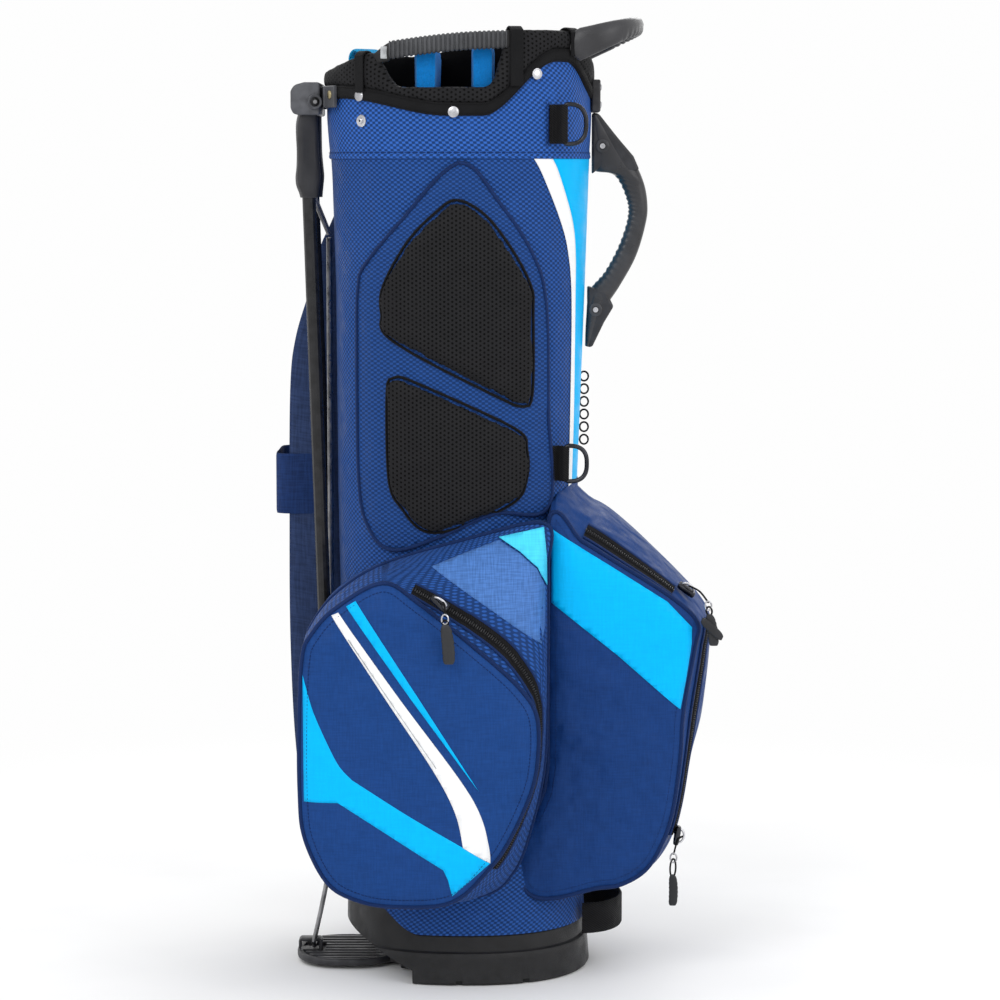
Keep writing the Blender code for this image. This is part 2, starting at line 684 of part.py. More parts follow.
def tube_solid(offset, low=-0.02, high=0.90):
    """The whole tube as a solid, grown by offset."""
    heights = [low, 0.05, 0.20, 0.45, 0.64, 0.745, 0.80, high]
    return loft_mesh([oval(h, offset) for h in heights])


def patch(name, corners, inner, outer, finish):
    """A pad that follows the tube's hip side between two offsets, with a given outline."""
    outline = [(p.x, p.y) for p in (Vector((*c, 0)) for c in corners)]
    made = prism(name, outline, -0.150, -0.040, finish)
    shell = made.modifiers.new("outer", "BOOLEAN")
    combine(made, tube_solid(inner), "DIFFERENCE")
    helper = bpy.data.objects.new(name + "_outer", tube_solid(outer))
    bpy.context.scene.collection.objects.link(helper)
    helper.hide_render = True
    helper.display_type = "WIRE"
    shell.operation = "INTERSECT"
    shell.object = helper
    return made


def make_hip_pad():
    patch("hip_pad_base", PAD_OUTLINE, 0.0007, 0.0045, BLUE)
    patch("hip_pad_mesh_upper", UPPER_MESH, 0.0049, 0.0110, MESH_BLACK)
    patch("hip_pad_mesh_lower", LOWER_MESH, 0.0049, 0.0110, MESH_BLACK)


# --- pockets ------------------------------------------------------------------------------------

HIP_FRONT = (
    (-0.0690, 0.3840), (-0.1110, 0.3610), (-0.1320, 0.3380), (-0.1400, 0.3180), (-0.1430, 0.2600),
    (-0.1430, 0.1960), (-0.1390, 0.1550), (-0.1200, 0.1150), (-0.0960, 0.0990), (-0.0610, 0.0920),
    (-0.0080, 0.0960), (0.0270, 0.1280), (0.0450, 0.1550), (0.0630, 0.1960), (0.0690, 0.2280),
    (0.0680, 0.2640), (0.0540, 0.2880), (0.0220, 0.3180), (-0.0360, 0.3650),
)
HIP_BACK = (
    (-0.0720, 0.3920), (-0.1130, 0.3660), (-0.1340, 0.3400), (-0.1410, 0.3180), (-0.1440, 0.2600),
    (-0.1440, 0.1960), (-0.1400, 0.1550), (-0.1220, 0.1120), (-0.0980, 0.0940), (-0.0610, 0.0860),
    (0.0180, 0.0860), (0.0480, 0.1080), (0.0640, 0.1500), (0.0750, 0.2000), (0.0780, 0.2500),
    (0.0790, 0.3200), (0.0790, 0.3900), (0.0760, 0.4300), (0.0000, 0.4140),
)
HIP_FRONT_Y, HIP_BACK_Y, HIP_END_Y = -0.178, -0.110, -0.057
POCKET_STEPS = 2

BALL_SIDE = (
    (0.0560, 0.0880), (0.1281, 0.0895), (0.1530, 0.0950), (0.1732, 0.1100), (0.1878, 0.1382),
    (0.1951, 0.1654), (0.2010, 0.2100), (0.2040, 0.2560), (0.2140, 0.3140), (0.2160, 0.3375),
    (0.1911, 0.3610), (0.1400, 0.3935), (0.1100, 0.4120), (0.0790, 0.4300), (0.0560, 0.2500),
)
BALL_MIDDLE = (
    (0.0560, 0.0860), (0.1297, 0.0850), (0.1600, 0.0880), (0.1830, 0.1000), (0.1990, 0.1230),
    (0.2090, 0.1560), (0.2170, 0.2000), (0.2270, 0.2400), (0.2330, 0.3000), (0.2330, 0.3350),
    (0.2040, 0.3720), (0.1560, 0.4180), (0.1250, 0.4400), (0.0790, 0.4520), (0.0560, 0.2500),
)
BALL_HALF_WIDTH = 0.098

APPAREL_OUTLINE = (
    (-0.0950, 0.7250), (-0.1300, 0.6900), (-0.1455, 0.6380), (-0.1600, 0.5900), (-0.1655, 0.5400),
    (-0.1670, 0.4200), (-0.1670, 0.3000), (-0.1620, 0.1900), (-0.1500, 0.1150), (-0.1200, 0.0880),
    (0.0100, 0.0860), (0.0500, 0.1000), (0.0720, 0.1600), (0.0760, 0.3500), (0.0760, 0.5600),
    (0.0700, 0.6800), (0.0400, 0.7250),
)
APPAREL_NEAR_Y, APPAREL_EDGE_Y, APPAREL_FAR_Y = 0.057, 0.140, 0.160


def flat_outline(corners, steps=POCKET_STEPS):
    return [(p.x, p.y) for p in curved([(x, z, 0) for x, z in corners], steps)]


def shrunk(outline, share):
    middle_x = sum(p[0] for p in outline) / len(outline)
    middle_z = sum(p[1] for p in outline) / len(outline)
    return [(middle_x + (x - middle_x) * share, middle_z + (z - middle_z) * share) for x, z in outline]


def at_y(outline, y):
    return [Vector((x, y, z)) for x, z in outline]


def make_hip_pocket():
    front, back = flat_outline(HIP_FRONT), flat_outline(HIP_BACK)
    rings = [
        at_y(shrunk(front, 0.80), HIP_FRONT_Y - 0.011),
        at_y(shrunk(front, 0.94), HIP_FRONT_Y - 0.006),
        at_y(front, HIP_FRONT_Y),
        at_y(back, HIP_BACK_Y),
        at_y(back, HIP_END_Y),
    ]
    pocket = loft("hip_pocket", rings, NAVY)
    combine(pocket, tube_solid(0.0008), "DIFFERENCE")


def ball_outline(y):
    weight = max(0.0, 1 - (abs(y) / 0.092) ** 2.3)
    side, middle = flat_outline(BALL_SIDE), flat_outline(BALL_MIDDLE)
    return [(a[0] + (b[0] - a[0]) * weight, a[1] + (b[1] - a[1]) * weight) for a, b in zip(side, middle)]


def make_ball_pocket():
    rings = [at_y(shrunk(ball_outline(-0.095), 0.93), -BALL_HALF_WIDTH)]
    for y in (-0.094, -0.078, -0.045, 0.0, 0.045, 0.078, 0.094):
        rings.append(at_y(ball_outline(y), y))
    rings.append(at_y(shrunk(ball_outline(0.095), 0.93), BALL_HALF_WIDTH))
    pocket = loft("ball_pocket", rings, NAVY)
    combine(pocket, tube_solid(0.0008), "DIFFERENCE")
    corner = [(0.0, 0.0), (0.0800, 0.0), (0.0800, 0.50), (0.0, 0.50)]
    below = flat_outline([(x + 0.0012, z - 0.0012 * (z < 0.15)) for x, z in HIP_BACK])
    combine(pocket, prism_mesh(below, -0.15, -0.02), "DIFFERENCE")
    combine(pocket, prism_mesh(corner, 0.0, 0.15), "DIFFERENCE")


def make_apparel_pocket():
    outline = flat_outline(APPAREL_OUTLINE)
    rings = [
        at_y(outline, APPAREL_NEAR_Y),
        at_y(outline, APPAREL_EDGE_Y),
        at_y(shrunk(outline, 0.95), 0.152),
        at_y(shrunk(outline, 0.82), APPAREL_FAR_Y),
    ]
    pocket = loft("apparel_pocket", rings, DEEP_NAVY)
    combine(pocket, tube_solid(0.0008), "DIFFERENCE")
    path = [Vector(p) for p in (
        (-0.1690, 0.0600, 0), (-0.1795, 0.0640, 0), (-0.1795, 0.1000, 0), (-0.1790, 0.1400, 0),
        (-0.1740, 0.1500, 0), (-0.1560, 0.1625, 0), (-0.1300, 0.1640, 0),
    )]
    ribbon("towel_loop", path, 0.4210, 0.4790, 0.0016, NAVY)


# --- zips ---------------------------------------------------------------------------------------


def slider_block(name, place, ahead, out, finish=STEEL, size=(0.0090, 0.0050, 0.0030)):
    """A slider body: half sizes along its travel, across it and away from the cloth."""
    across = out.cross(ahead).normalized()
    turn = Matrix((ahead.normalized(), across, out.normalized())).transposed().to_4x4()
    low = Vector((-size[0], -size[1], -size[2]))
    mesh = box_mesh(low, -low)
    made = add_object(name, moved(mesh, Matrix.Translation(place) @ turn), finish, pivot=place)
    rounded = made.modifiers.new("round", "BEVEL")
    rounded.width = 0.0010
    rounded.segments = 1
    return made


def make_zips():
    """Three zips that open, each with a slider on its straight stretch and a hanging puller."""
    for name, start, end, out, hang in ZIPS:
        start, end, out = Vector(start), Vector(end), Vector(out).normalized()
        ahead = (end - start).normalized()
        slider_block(name + "_slider", start, ahead, out)
        top, radius, length = hang
        top = Vector(top)
        profile = ((0.0, 0.0014), (0.06, 0.0014), (0.16, radius), (0.92, radius), (1.0, radius * 0.7))
        turned(name + "_puller", top, top - Vector((0, 0, length)), profile, RUBBER, 10, pivot=top)


# Name, slider at rest, far end of its travel, direction away from the cloth, and its puller:
# hinge point, radius and length.
ZIPS = (
    ("hip_zip", (-0.0180, -0.1860, 0.3680), (0.0480, -0.1860, 0.3145), (0.35, -0.8, 0.55),
     ((-0.0130, -0.1980, 0.3580), 0.0048, 0.0430)),
    ("ball_side_zip", (0.2008, -0.0700, 0.1330), (0.2263, -0.0700, 0.2900), (1.0, 0.0, -0.16),
     ((0.1970, -0.0800, 0.1170), 0.0045, 0.0480)),
    ("ball_top_zip", (0.2080, -0.0700, 0.3640), (0.1390, -0.0700, 0.4185), (0.5, -0.4, 0.8),
     ((0.2260, -0.1045, 0.3570), 0.0050, 0.0400)),
)


def clear_scene():
    for item in list(bpy.data.objects):
        bpy.data.objects.remove(item, do_unlink=True)


clear_scene()
make_base()
make_pedal()
make_rod()
make_stand()
make_tube()
make_mouth()
make_dividers()
make_grip()
make_lift_handle()
make_carry_handle()
make_trimmings()
make_hip_pad()
make_hip_pocket()
make_ball_pocket()
make_apparel_pocket()
make_zips()
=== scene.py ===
"""Looks for the golf stand bag: cloth, padding, prints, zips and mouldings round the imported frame.

Metres, +Z up. +X is the spine side with the carry handle, -X the leg side, -Y the hip side.
"""

import math

import bmesh
import bpy
from mathutils import Matrix, Vector, noise
from mathutils.bvhtree import BVHTree


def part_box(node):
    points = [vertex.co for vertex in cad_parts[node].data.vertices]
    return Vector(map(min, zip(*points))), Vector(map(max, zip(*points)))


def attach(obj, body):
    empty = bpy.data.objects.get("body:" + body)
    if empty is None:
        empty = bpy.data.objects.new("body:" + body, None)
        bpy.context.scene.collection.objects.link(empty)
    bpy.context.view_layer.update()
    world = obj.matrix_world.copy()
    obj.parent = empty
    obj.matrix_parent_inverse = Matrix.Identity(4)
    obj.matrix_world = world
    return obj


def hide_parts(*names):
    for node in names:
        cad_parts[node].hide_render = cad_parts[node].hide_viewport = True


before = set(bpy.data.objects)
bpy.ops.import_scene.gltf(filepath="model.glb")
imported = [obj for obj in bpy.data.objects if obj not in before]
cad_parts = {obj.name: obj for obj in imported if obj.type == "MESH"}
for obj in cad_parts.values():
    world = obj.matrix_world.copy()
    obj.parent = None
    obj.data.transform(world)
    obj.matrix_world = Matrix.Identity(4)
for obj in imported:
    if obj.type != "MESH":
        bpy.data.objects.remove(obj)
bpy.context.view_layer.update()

# --- the tube's outline, as the frame has it ----------------------------------------------------

SECTION_POWER = 2.3
# Height, leg side, spine side and half width of the tube's outline.
TUBE_SECTIONS = (
    (0.000, -0.114, 0.121, 0.110),
    (0.050, -0.112, 0.116, 0.107),
    (0.200, -0.112, 0.107, 0.104),
    (0.450, -0.1165, 0.107, 0.103),
    (0.640, -0.1175, 0.114, 0.106),
    (0.745, -0.1205, 0.1175, 0.110),
    (0.800, -0.1240, 0.1195, 0.113),
    (0.900, -0.1240, 0.1195, 0.113),
)
SEAM_HEIGHT = 0.761
TRIM_TALL = 0.012
ROUND_STEPS = 192


def section_at(height):
    """Leg side, spine side and half width of the tube at a height."""
    for low, high in zip(TUBE_SECTIONS, TUBE_SECTIONS[1:]):
        if height <= high[0]:
            share = max(0.0, (height - low[0]) / (high[0] - low[0]))
            return [a + (b - a) * share for a, b in zip(low[1:], high[1:])]
    return list(TUBE_SECTIONS[-1][1:])


def wall_point(turn, height, offset=0.0):
    """A point on the tube's oval: turn is 0 at the spine and a quarter turn at +Y."""
    leg, spine, half_width = section_at(height)
    middle, half_length = (leg + spine) / 2, (spine - leg) / 2
    c, s = math.cos(turn), math.sin(turn)
    x = math.copysign(abs(c) ** (2 / SECTION_POWER), c)
    y = math.copysign(abs(s) ** (2 / SECTION_POWER), s)
    return Vector((middle + (half_length + offset) * x, (half_width + offset) * y, height))


def side_y(x, height, offset=0.0):
    """Half width of the tube at a given x."""
    leg, spine, half_width = section_at(height)
    middle, half_length = (leg + spine) / 2, (spine - leg) / 2 + offset
    across = min(1.0, abs(x - middle) / half_length)
    return (half_width + offset) * (1 - across**SECTION_POWER) ** (1 / SECTION_POWER)


def turn_at(x, height):
    """The turn on the far side of the tube's oval at which it has this x."""
    leg, spine, _ = section_at(height)
    share = (x - (leg + spine) / 2) / ((spine - leg) / 2)
    share = max(-1.0, min(1.0, share))
    return math.acos(math.copysign(abs(share) ** (SECTION_POWER / 2), share))


def ease(value, low, high):
    """A smooth rise from 0 at low to 1 at high."""
    share = min(1.0, max(0.0, (value - low) / (high - low)))
    return share * share * (3 - 2 * share)


def rim_height(x, _y):
    """Upper edge of the base: higher on the leg side."""
    return 0.046 + 0.040 * ease(-x, 0.045, 0.110)


def trim_height(x, _y):
    """Lower edge of the black trim: it climbs towards the spine, then falls under the lift handle."""
    climb = 0.049 * ease(x, 0.020, 0.086) - 0.040 * ease(x, 0.094, 0.126)
    return 0.798 + 0.0165 * ease(-x, 0.010, 0.110) + climb


def pad_height(x, y):
    """Upper edge of the padded rim, with the hand slot's dip on the hip side."""
    top = 0.8355 + 0.024 * ease(x, -0.150, -0.060) + 0.0165 * ease(x, -0.060, 0.045)
    top -= 0.038 * ease(x, 0.106, 0.126)
    dip = ease(x, -0.080, -0.054) * (1 - ease(x, 0.026, 0.046)) * ease(-y, 0.0, 0.060)
    return top - (top - 0.8240) * dip


# --- materials ----------------------------------------------------------------------------------


class Finish:
    """One procedural material. Its node methods return the new node's output socket."""

    def __init__(self, name, rough=0.6, metallic=0.0, sheen=0.0, coat=0.0, specular=0.5):
        self.material = bpy.data.materials.new(name)
        self.material.use_nodes = True
        self.tree = self.material.node_tree
        self.shader = self.tree.nodes["Principled BSDF"]
        self.shader.inputs["Roughness"].default_value = rough
        self.shader.inputs["Metallic"].default_value = metallic
        self.shader.inputs["Sheen Weight"].default_value = sheen
        self.shader.inputs["Sheen Roughness"].default_value = 0.4
        self.shader.inputs["Coat Weight"].default_value = coat
        self.shader.inputs["Specular IOR Level"].default_value = specular

    def add(self, kind, inputs=None, out=0, **settings):
        made = self.tree.nodes.new("ShaderNode" + kind)
        for key, value in settings.items():
            setattr(made, key, value)
        for key, value in (inputs or {}).items():
            if isinstance(value, bpy.types.NodeSocket):
                self.tree.links.new(value, made.inputs[key])
            else:
                made.inputs[key].default_value = value
        return made.outputs[out]

    def calc(self, operation, a, b=0.0):
        return self.add("Math", {0: a, 1: b}, operation=operation)

    def wave(self, value, pitch, shift=0.0):
        """Cosine of a length, one cycle for each pitch, from -1 to 1."""
        turn = self.calc("MULTIPLY", value, 2 * math.pi / pitch)
        return self.calc("COSINE", self.calc("ADD", turn, shift))

    def step(self, value, low, high):
        return self.add("MapRange", {0: value, 1: low, 2: high}, interpolation_type="SMOOTHSTEP")

    def spots(self, scale, detail=3.0, low=0.35, high=0.65):
        """Soft cloudy variation from 0 to 1, at this many cells a metre."""
        place = self.add("TexCoord", out=3)
        cloud = self.add("TexNoise", {"Vector": place, "Scale": scale, "Detail": detail})
        return self.step(cloud, low, high)

    def mix(self, share, a, b):
        def colour(value):
            return value if isinstance(value, bpy.types.NodeSocket) else (*value, 1.0)

        inputs = {0: share, 6: colour(a), 7: colour(b)}
        return self.add("Mix", inputs, out=2, data_type="RGBA")

    def lengths(self):
        """Along and up the cloth in metres, from the piece's own map."""
        place = self.add("UVMap", uv_map="weave")
        split = self.tree.nodes.new("ShaderNodeSeparateXYZ")
        self.tree.links.new(place, split.inputs[0])
        return split.outputs[0], split.outputs[1]

    def slubs(self, u, v, pitch):
        """Uneven threads both ways: fine across each thread and long along it, from 0 to 1."""
        rows = []
        for along, across in ((u, v), (v, u)):
            scaled = {0: self.calc("DIVIDE", along, pitch * 12), 1: self.calc("DIVIDE", across, pitch)}
            place = self.add("CombineXYZ", scaled)
            cloud = self.add("TexNoise", {"Vector": place, "Scale": 1.0, "Detail": 2.0})
            rows.append(self.step(cloud, 0.35, 0.65))
        return self.calc("MULTIPLY", self.calc("ADD", rows[0], rows[1]), 0.5)

    def colour(self, socket):
        self.tree.links.new(socket, self.shader.inputs["Base Color"])

    def rough(self, share, low, high):
        found = self.add("MapRange", {0: share, 3: low, 4: high})
        self.tree.links.new(found, self.shader.inputs["Roughness"])

    def bump(self, height, depth, strength=1.0):
        inputs = {"Height": height, "Distance": depth, "Strength": strength}
        self.tree.links.new(self.add("Bump", inputs), self.shader.inputs["Normal"])


def shade(colour, share):
    """The colour made darker or lighter."""
    return tuple(min(1.0, share * value) for value in colour)


def weave_height(finish, kind, pitch):
    """Height of a weave from 0 to 1: each kind is a product or sum of waves along the threads."""
    u, v = finish.lengths()
    if kind == "diamond":
        cells = finish.calc("MULTIPLY", finish.wave(u, pitch), finish.wave(v, pitch * 0.72))
        return finish.step(cells, -0.45, 0.55)
    if kind in ("honeycomb", "spacer"):
        total = finish.wave(u, pitch)
        for side in (-1, 1):
            up = finish.calc("MULTIPLY", v, 0.866 * side)
            slant = finish.calc("ADD", finish.calc("MULTIPLY", u, 0.5), up)
            total = finish.calc("ADD", total, finish.wave(slant, pitch))
        low, high = (-0.6, 1.2) if kind == "honeycomb" else (1.9, 0.5)
        return finish.step(total, low, high)
    if kind == "twill":
        slant = finish.calc("ADD", u, finish.calc("MULTIPLY", v, 0.7))
        return finish.step(finish.wave(slant, pitch), -0.9, 0.9)
    if kind == "ripstop":
        return finish.slubs(u, v, pitch)
    warp = finish.calc("MULTIPLY", finish.wave(u, pitch), finish.wave(v, pitch))
    return finish.step(warp, -0.9, 0.9)


def cloth(name, colour, kind="plain", pitch=0.0011, depth=0.0002, rough=0.7, sheen=0.03, **more):
    """Woven or printed cloth: threads, cloudy dye, painted highlights on the raised threads with painted shade
    in their gaps, and soft folds.
    """
    contrast = more.get("contrast", 0.45)
    finish = Finish(name, rough, sheen=sheen, coat=more.get("coat", 0.0), specular=more.get("specular", 0.08))
    threads = weave_height(finish, kind, pitch)
    # The weave's pattern, with the raised threads painted lighter (light) as a highlight and the gaps painted
    # darker (contrast) as shade.
    light = shade(colour, more.get("light", 1.25))
    threads_shade_and_highlight = finish.mix(threads, shade(colour, 1 - contrast), light)
    cloudy = finish.mix(finish.spots(14), shade(colour, 0.72), light)
    worn_with_painted_highlight = finish.mix(finish.calc("MULTIPLY", finish.spots(90, 6, 0.45, 0.8), 0.25), threads_shade_and_highlight, cloudy)
    finish.colour(worn_with_painted_highlight)
    finish.rough(finish.spots(60), rough - 0.10, min(1.0, rough + 0.08))
    folds = finish.calc("MULTIPLY", finish.spots(26, 2, 0.25, 0.75), more.get("folds", 0.0) / depth)
    finish.bump(finish.calc("ADD", threads, folds), depth)
    return finish.material


def fleece(name, colour):
    """Brushed pile: short random fibres, no threads."""
    finish = Finish(name, 0.95, sheen=0.15, specular=0.1)
    pile = finish.spots(1900, 2, 0.3, 0.7)
    tufts = finish.spots(260, 4)
    finish.colour(finish.mix(finish.mix(pile, (0.2, 0.2, 0.2), (0.8, 0.8, 0.8)), shade(colour, 0.55), colour))
    finish.rough(tufts, 0.88, 1.0)
    finish.bump(finish.calc("ADD", pile, tufts), 0.0006)
    return finish.material


def moulded(name, colour, rough=0.45, grain=0.00005, coat=0.0, wear=1.7):
    """Moulded plastic or rubber: fine grain, handling marks, edges rubbed lighter."""
    finish = Finish(name, rough, coat=coat, specular=0.26)
    edges = finish.step(finish.add("NewGeometry", out=7), 0.505, 0.58)
    rubbed = finish.calc("MULTIPLY", edges, finish.spots(120, 5))
    body = finish.mix(finish.spots(30), shade(colour, 0.85), shade(colour, 1.15))
    finish.colour(finish.mix(rubbed, body, shade(colour, wear)))
    finish.rough(finish.spots(45, 6), rough - 0.08, rough + 0.12)
    finish.bump(finish.spots(1500, 3), grain)
    return finish.material


def metal(name, colour, rough=0.25, dull=0.6):
    """Plated metal: hairline scratches and dull patches."""
    finish = Finish(name, rough, metallic=1.0)
    finish.colour(finish.mix(finish.spots(70, 6), shade(colour, dull), colour))
    finish.rough(finish.spots(400, 8), rough - 0.08, rough + 0.15)
    finish.bump(finish.spots(1100, 6), 0.00002)
    return finish.material


BLUE = (0.018, 0.072, 0.275)
NAVY = (0.010, 0.050, 0.200)
DEEP_BLUE = (0.009, 0.042, 0.172)
CYAN = (0.0, 0.445, 0.880)
WHITE = (0.84, 0.85, 0.86)
DARK = (0.026, 0.044, 0.110)
BLACK = (0.010, 0.010, 0.011)

# light: how much lighter the raised threads are painted, a painted highlight; it also sets the lighter end of
# the cloudy dye. contrast: how much darker the gaps are painted, as shade.
CUFF_CLOTH = cloth("cuff_cloth", BLUE, "diamond", 0.0062, 0.0005, 0.5, contrast=0.50, light=1.75)
TUBE_CLOTH = cloth("tube_cloth", BLUE, "diamond", 0.0060, 0.0006, 0.5, contrast=0.55, light=1.25,
                   folds=0.0024)
PAD_CLOTH = cloth("pad_cloth", BLUE, "diamond", 0.0058, 0.0006, 0.5, contrast=0.55, light=1.0,
                  folds=0.0016)
POCKET_CLOTH = cloth("pocket_cloth", NAVY, "ripstop", 0.0013, 0.00012, 0.55, contrast=0.14, light=1.10,
                     folds=0.0034)
POCKET_DEEP = cloth("pocket_cloth_deep", DEEP_BLUE, "ripstop", 0.0013, 0.00012, 0.5, contrast=0.14,
                    light=1.10, folds=0.0044)
GUSSET_CLOTH = cloth("gusset_cloth", BLUE, "honeycomb", 0.0050, 0.0004, 0.6, contrast=0.50, light=1.25,
                     folds=0.0012)
CAP_CLOTH = cloth("cap_cloth", (0.064, 0.165, 0.440), "ripstop", 0.0013, 0.00015, 0.45, contrast=0.25,
                  folds=0.0012)
DARK_CLOTH = cloth("dark_cloth", DARK, "ripstop", 0.0018, 0.0002, 0.7, contrast=0.3, folds=0.0020)
TOWEL_CLOTH = cloth("towel_cloth", (0.012, 0.032, 0.115), "ripstop", 0.0018, 0.0002, 0.65, contrast=0.3)
DARK_PIPING = cloth("dark_piping", (0.009, 0.028, 0.112), "plain", 0.0008, 0.0001, 0.5)
CYAN_CLOTH = cloth("cyan_print", CYAN, "ripstop", 0.0018, 0.00006, 0.45, contrast=0.05, light=1.04,
                   folds=0.0006)
# A cyan print painted lighter, as a sheen.
CYAN_PRINT_PAINTED_SHEEN = cloth("cyan_print_painted_sheen", (0.07, 0.640, 0.900), "ripstop", 0.0018, 0.00006, 0.4, contrast=0.15,
                  light=1.05)
WHITE_CLOTH = cloth("white_print", WHITE, "ripstop", 0.0018, 0.00006, 0.5, contrast=0.04, light=1.02)
BLACK_MESH = cloth("black_spacer_mesh", (0.0060, 0.0060, 0.0066), "spacer", 0.0036, 0.0008, 0.7,
                   contrast=0.85, light=2.4, specular=0.09)
WEBBING = cloth("black_webbing", (0.011, 0.011, 0.012), "twill", 0.0022, 0.0003, 0.7)
BINDING = cloth("black_binding", (0.010, 0.010, 0.011), "plain", 0.0010, 0.0002, 0.65)
THREAD = cloth("blue_thread", (0.008, 0.025, 0.110), "twill", 0.0006, 0.0001, 0.6)
BLACK_THREAD = cloth("black_thread", BLACK, "twill", 0.0006, 0.0001, 0.7)
FLEECE = fleece("fleece", (0.002, 0.290, 0.88))
BRIGHT_FLEECE = fleece("bright_fleece", (0.0, 0.460, 0.92))
# Near-black painted shade for the inward faces of the mouth pad.
INSIDE_PAINTED_SHADE = cloth("mouth_inside_painted_shade", (0.0022, 0.0022, 0.0026), "plain", 0.0015, 0.0002, 0.9, specular=0.03)
PLASTIC = moulded("black_plastic", (0.027, 0.027, 0.030), 0.38)
BASE_PLASTIC = moulded("moulded_base", (0.012, 0.012, 0.013), 0.42, 0.00008)
GREY_PLASTIC = moulded("grey_plastic", (0.066, 0.068, 0.076), 0.36)
HANDLE_PLASTIC = moulded("handle_plastic", (0.038, 0.038, 0.041), 0.27, 0.00002)
RUBBER = moulded("black_rubber", (0.013, 0.013, 0.014), 0.6, 0.0001)
PULL_RUBBER = moulded("pull_rubber", (0.022, 0.023, 0.026), 0.5)
ZIP_TAPE = cloth("zip_tape", (0.009, 0.009, 0.010), "twill", 0.0014, 0.0002, 0.7)
TEETH = moulded("zip_teeth", (0.018, 0.018, 0.020), 0.32, 0.00002)
LEG_BLACK = moulded("anodised_tube", (0.010, 0.010, 0.011), 0.25, 0.00001, 0.1)
NICKEL = metal("nickel", (0.66, 0.66, 0.69), 0.3)
BRASS = metal("brass", (0.60, 0.50, 0.28))
RING_METAL = metal("ring_metal", (0.050, 0.052, 0.060), 0.25)
SPRING_STEEL = metal("spring_steel", (0.30, 0.30, 0.31), 0.35)
BLACK_WIRE = metal("black_wire", (0.035, 0.035, 0.037), 0.35)
GRIP_RUBBER = moulded("grip_rubber", (0.055, 0.057, 0.062), 0.5, 0.00005, wear=1.3)
GREY_FOAM = moulded("grey_insert", (0.30, 0.31, 0.32), 0.6)

# --- building blocks ----------------------------------------------------------------------------


def piece(name, mesh, material, body="bag", slot=None, replaces=()):
    """An object of the finished mesh, in place, riding on a body."""
    mesh.name = name
    mesh.materials.append(material)
    mesh.shade_smooth()
    mesh.set_sharp_from_angle(angle=math.radians(40))
    made = bpy.data.objects.new(name, mesh)
    bpy.context.scene.collection.objects.link(made)
    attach(made, body)
    if replaces:
        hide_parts(*replaces)
    return made


def mesh_from(points, faces, lengths):
    """A mesh. lengths gives each point's place along and up the cloth, in metres."""
    mesh = bpy.data.meshes.new("shape")
    mesh.from_pydata([tuple(p) for p in points], [], faces)
    layer = mesh.uv_layers.new(name="weave")
    for loop in mesh.loops:
        layer.data[loop.index].uv = lengths[loop.vertex_index]
    shape = bmesh.new()
    shape.from_mesh(mesh)
    bmesh.ops.recalc_face_normals(shape, faces=shape.faces)
    shape.to_mesh(mesh)
    shape.free()
    return mesh


def skin(rings, looped=False, closed=True, caps=True):
    """Faces over rings of equal length. closed joins each ring end to start, looped joins last to first."""
    count = len(rings[0])
    points = [Vector(p) for ring in rings for p in ring]
    faces = []
    for i in range(len(rings) if looped else len(rings) - 1):
        near, far = i * count, (i + 1) % len(rings) * count
        for j in range(count if closed else count - 1):
            k = (j + 1) % count
            faces.append((near + j, near + k, far + k, far + j))
    if closed and caps and not looped:
        faces.append(tuple(reversed(range(count))))
        faces.append(tuple(range(len(points) - count, len(points))))
    spans = []
    up = [0.0] * count
    for i, ring in enumerate(rings):
        along = 0.0
        for j, point in enumerate(ring):
            if j:
                along += (Vector(point) - Vector(ring[j - 1])).length
            if i:
                up[j] += (Vector(point) - Vector(rings[i - 1][j])).length
            spans.append((along, up[j]))
    return mesh_from(points, faces, spans)


def thick(made, depth, offset=-1.0):
    """Gives a sheet its thickness, inwards unless told otherwise."""
    wall = made.modifiers.new("thickness", "SOLIDIFY")
    wall.thickness = depth
    wall.offset = offset
    return made


def softened(made, levels=1):
    """Rounds a piece by subdivision."""
    rounded = made.modifiers.new("round", "SUBSURF")
    rounded.levels = rounded.render_levels = levels
    return made


def bevelled(made, width, segments=3, angle=30):
    """Rounds the edges sharper than the angle, in degrees."""
    rounded = made.modifiers.new("round", "BEVEL")
    rounded.width = width
    rounded.segments = segments
    rounded.limit_method = "ANGLE"
    rounded.angle_limit = math.radians(angle)
    return made


def curved(corners, steps=8, closed=False):
    """A smooth line through the corners, with the same number of steps between each two."""
    corners = [Vector(c) for c in corners]
    count = len(corners)
    line = []
    for i in range(count if closed else count - 1):
        if closed:
            a, b, c, d = (corners[(i + k) % count] for k in (-1, 0, 1, 2))
        else:
            a, b, c, d = (corners[min(max(i + k, 0), count - 1)] for k in (-1, 0, 1, 2))
        for s in range(steps):
            t = s / steps
            pull = (c - a) * t + (2 * a - 5 * b + 4 * c - d) * t**2 + (3 * b - a - 3 * c + d) * t**3
            line.append(b + 0.5 * pull)
    if not closed:
        line.append(corners[-1])
    return line


def evenly(path, gap, closed=False):
    """Points the same distance apart along a line."""
    line = [Vector(p) for p in path]
    if closed:
        line.append(line[0])
    total = sum((b - a).length for a, b in zip(line, line[1:]))
    count = max(2, round(total / gap))
    found, done, i = [], 0.0, 0
    for k in range(count if closed else count + 1):
        target = total * k / count
        while i < len(line) - 2 and done + (line[i + 1] - line[i]).length < target:
            done += (line[i + 1] - line[i]).length
            i += 1
        span = (line[i + 1] - line[i]).length or 1.0
        found.append(line[i].lerp(line[i + 1], min(1.0, (target - done) / span)))
    return found


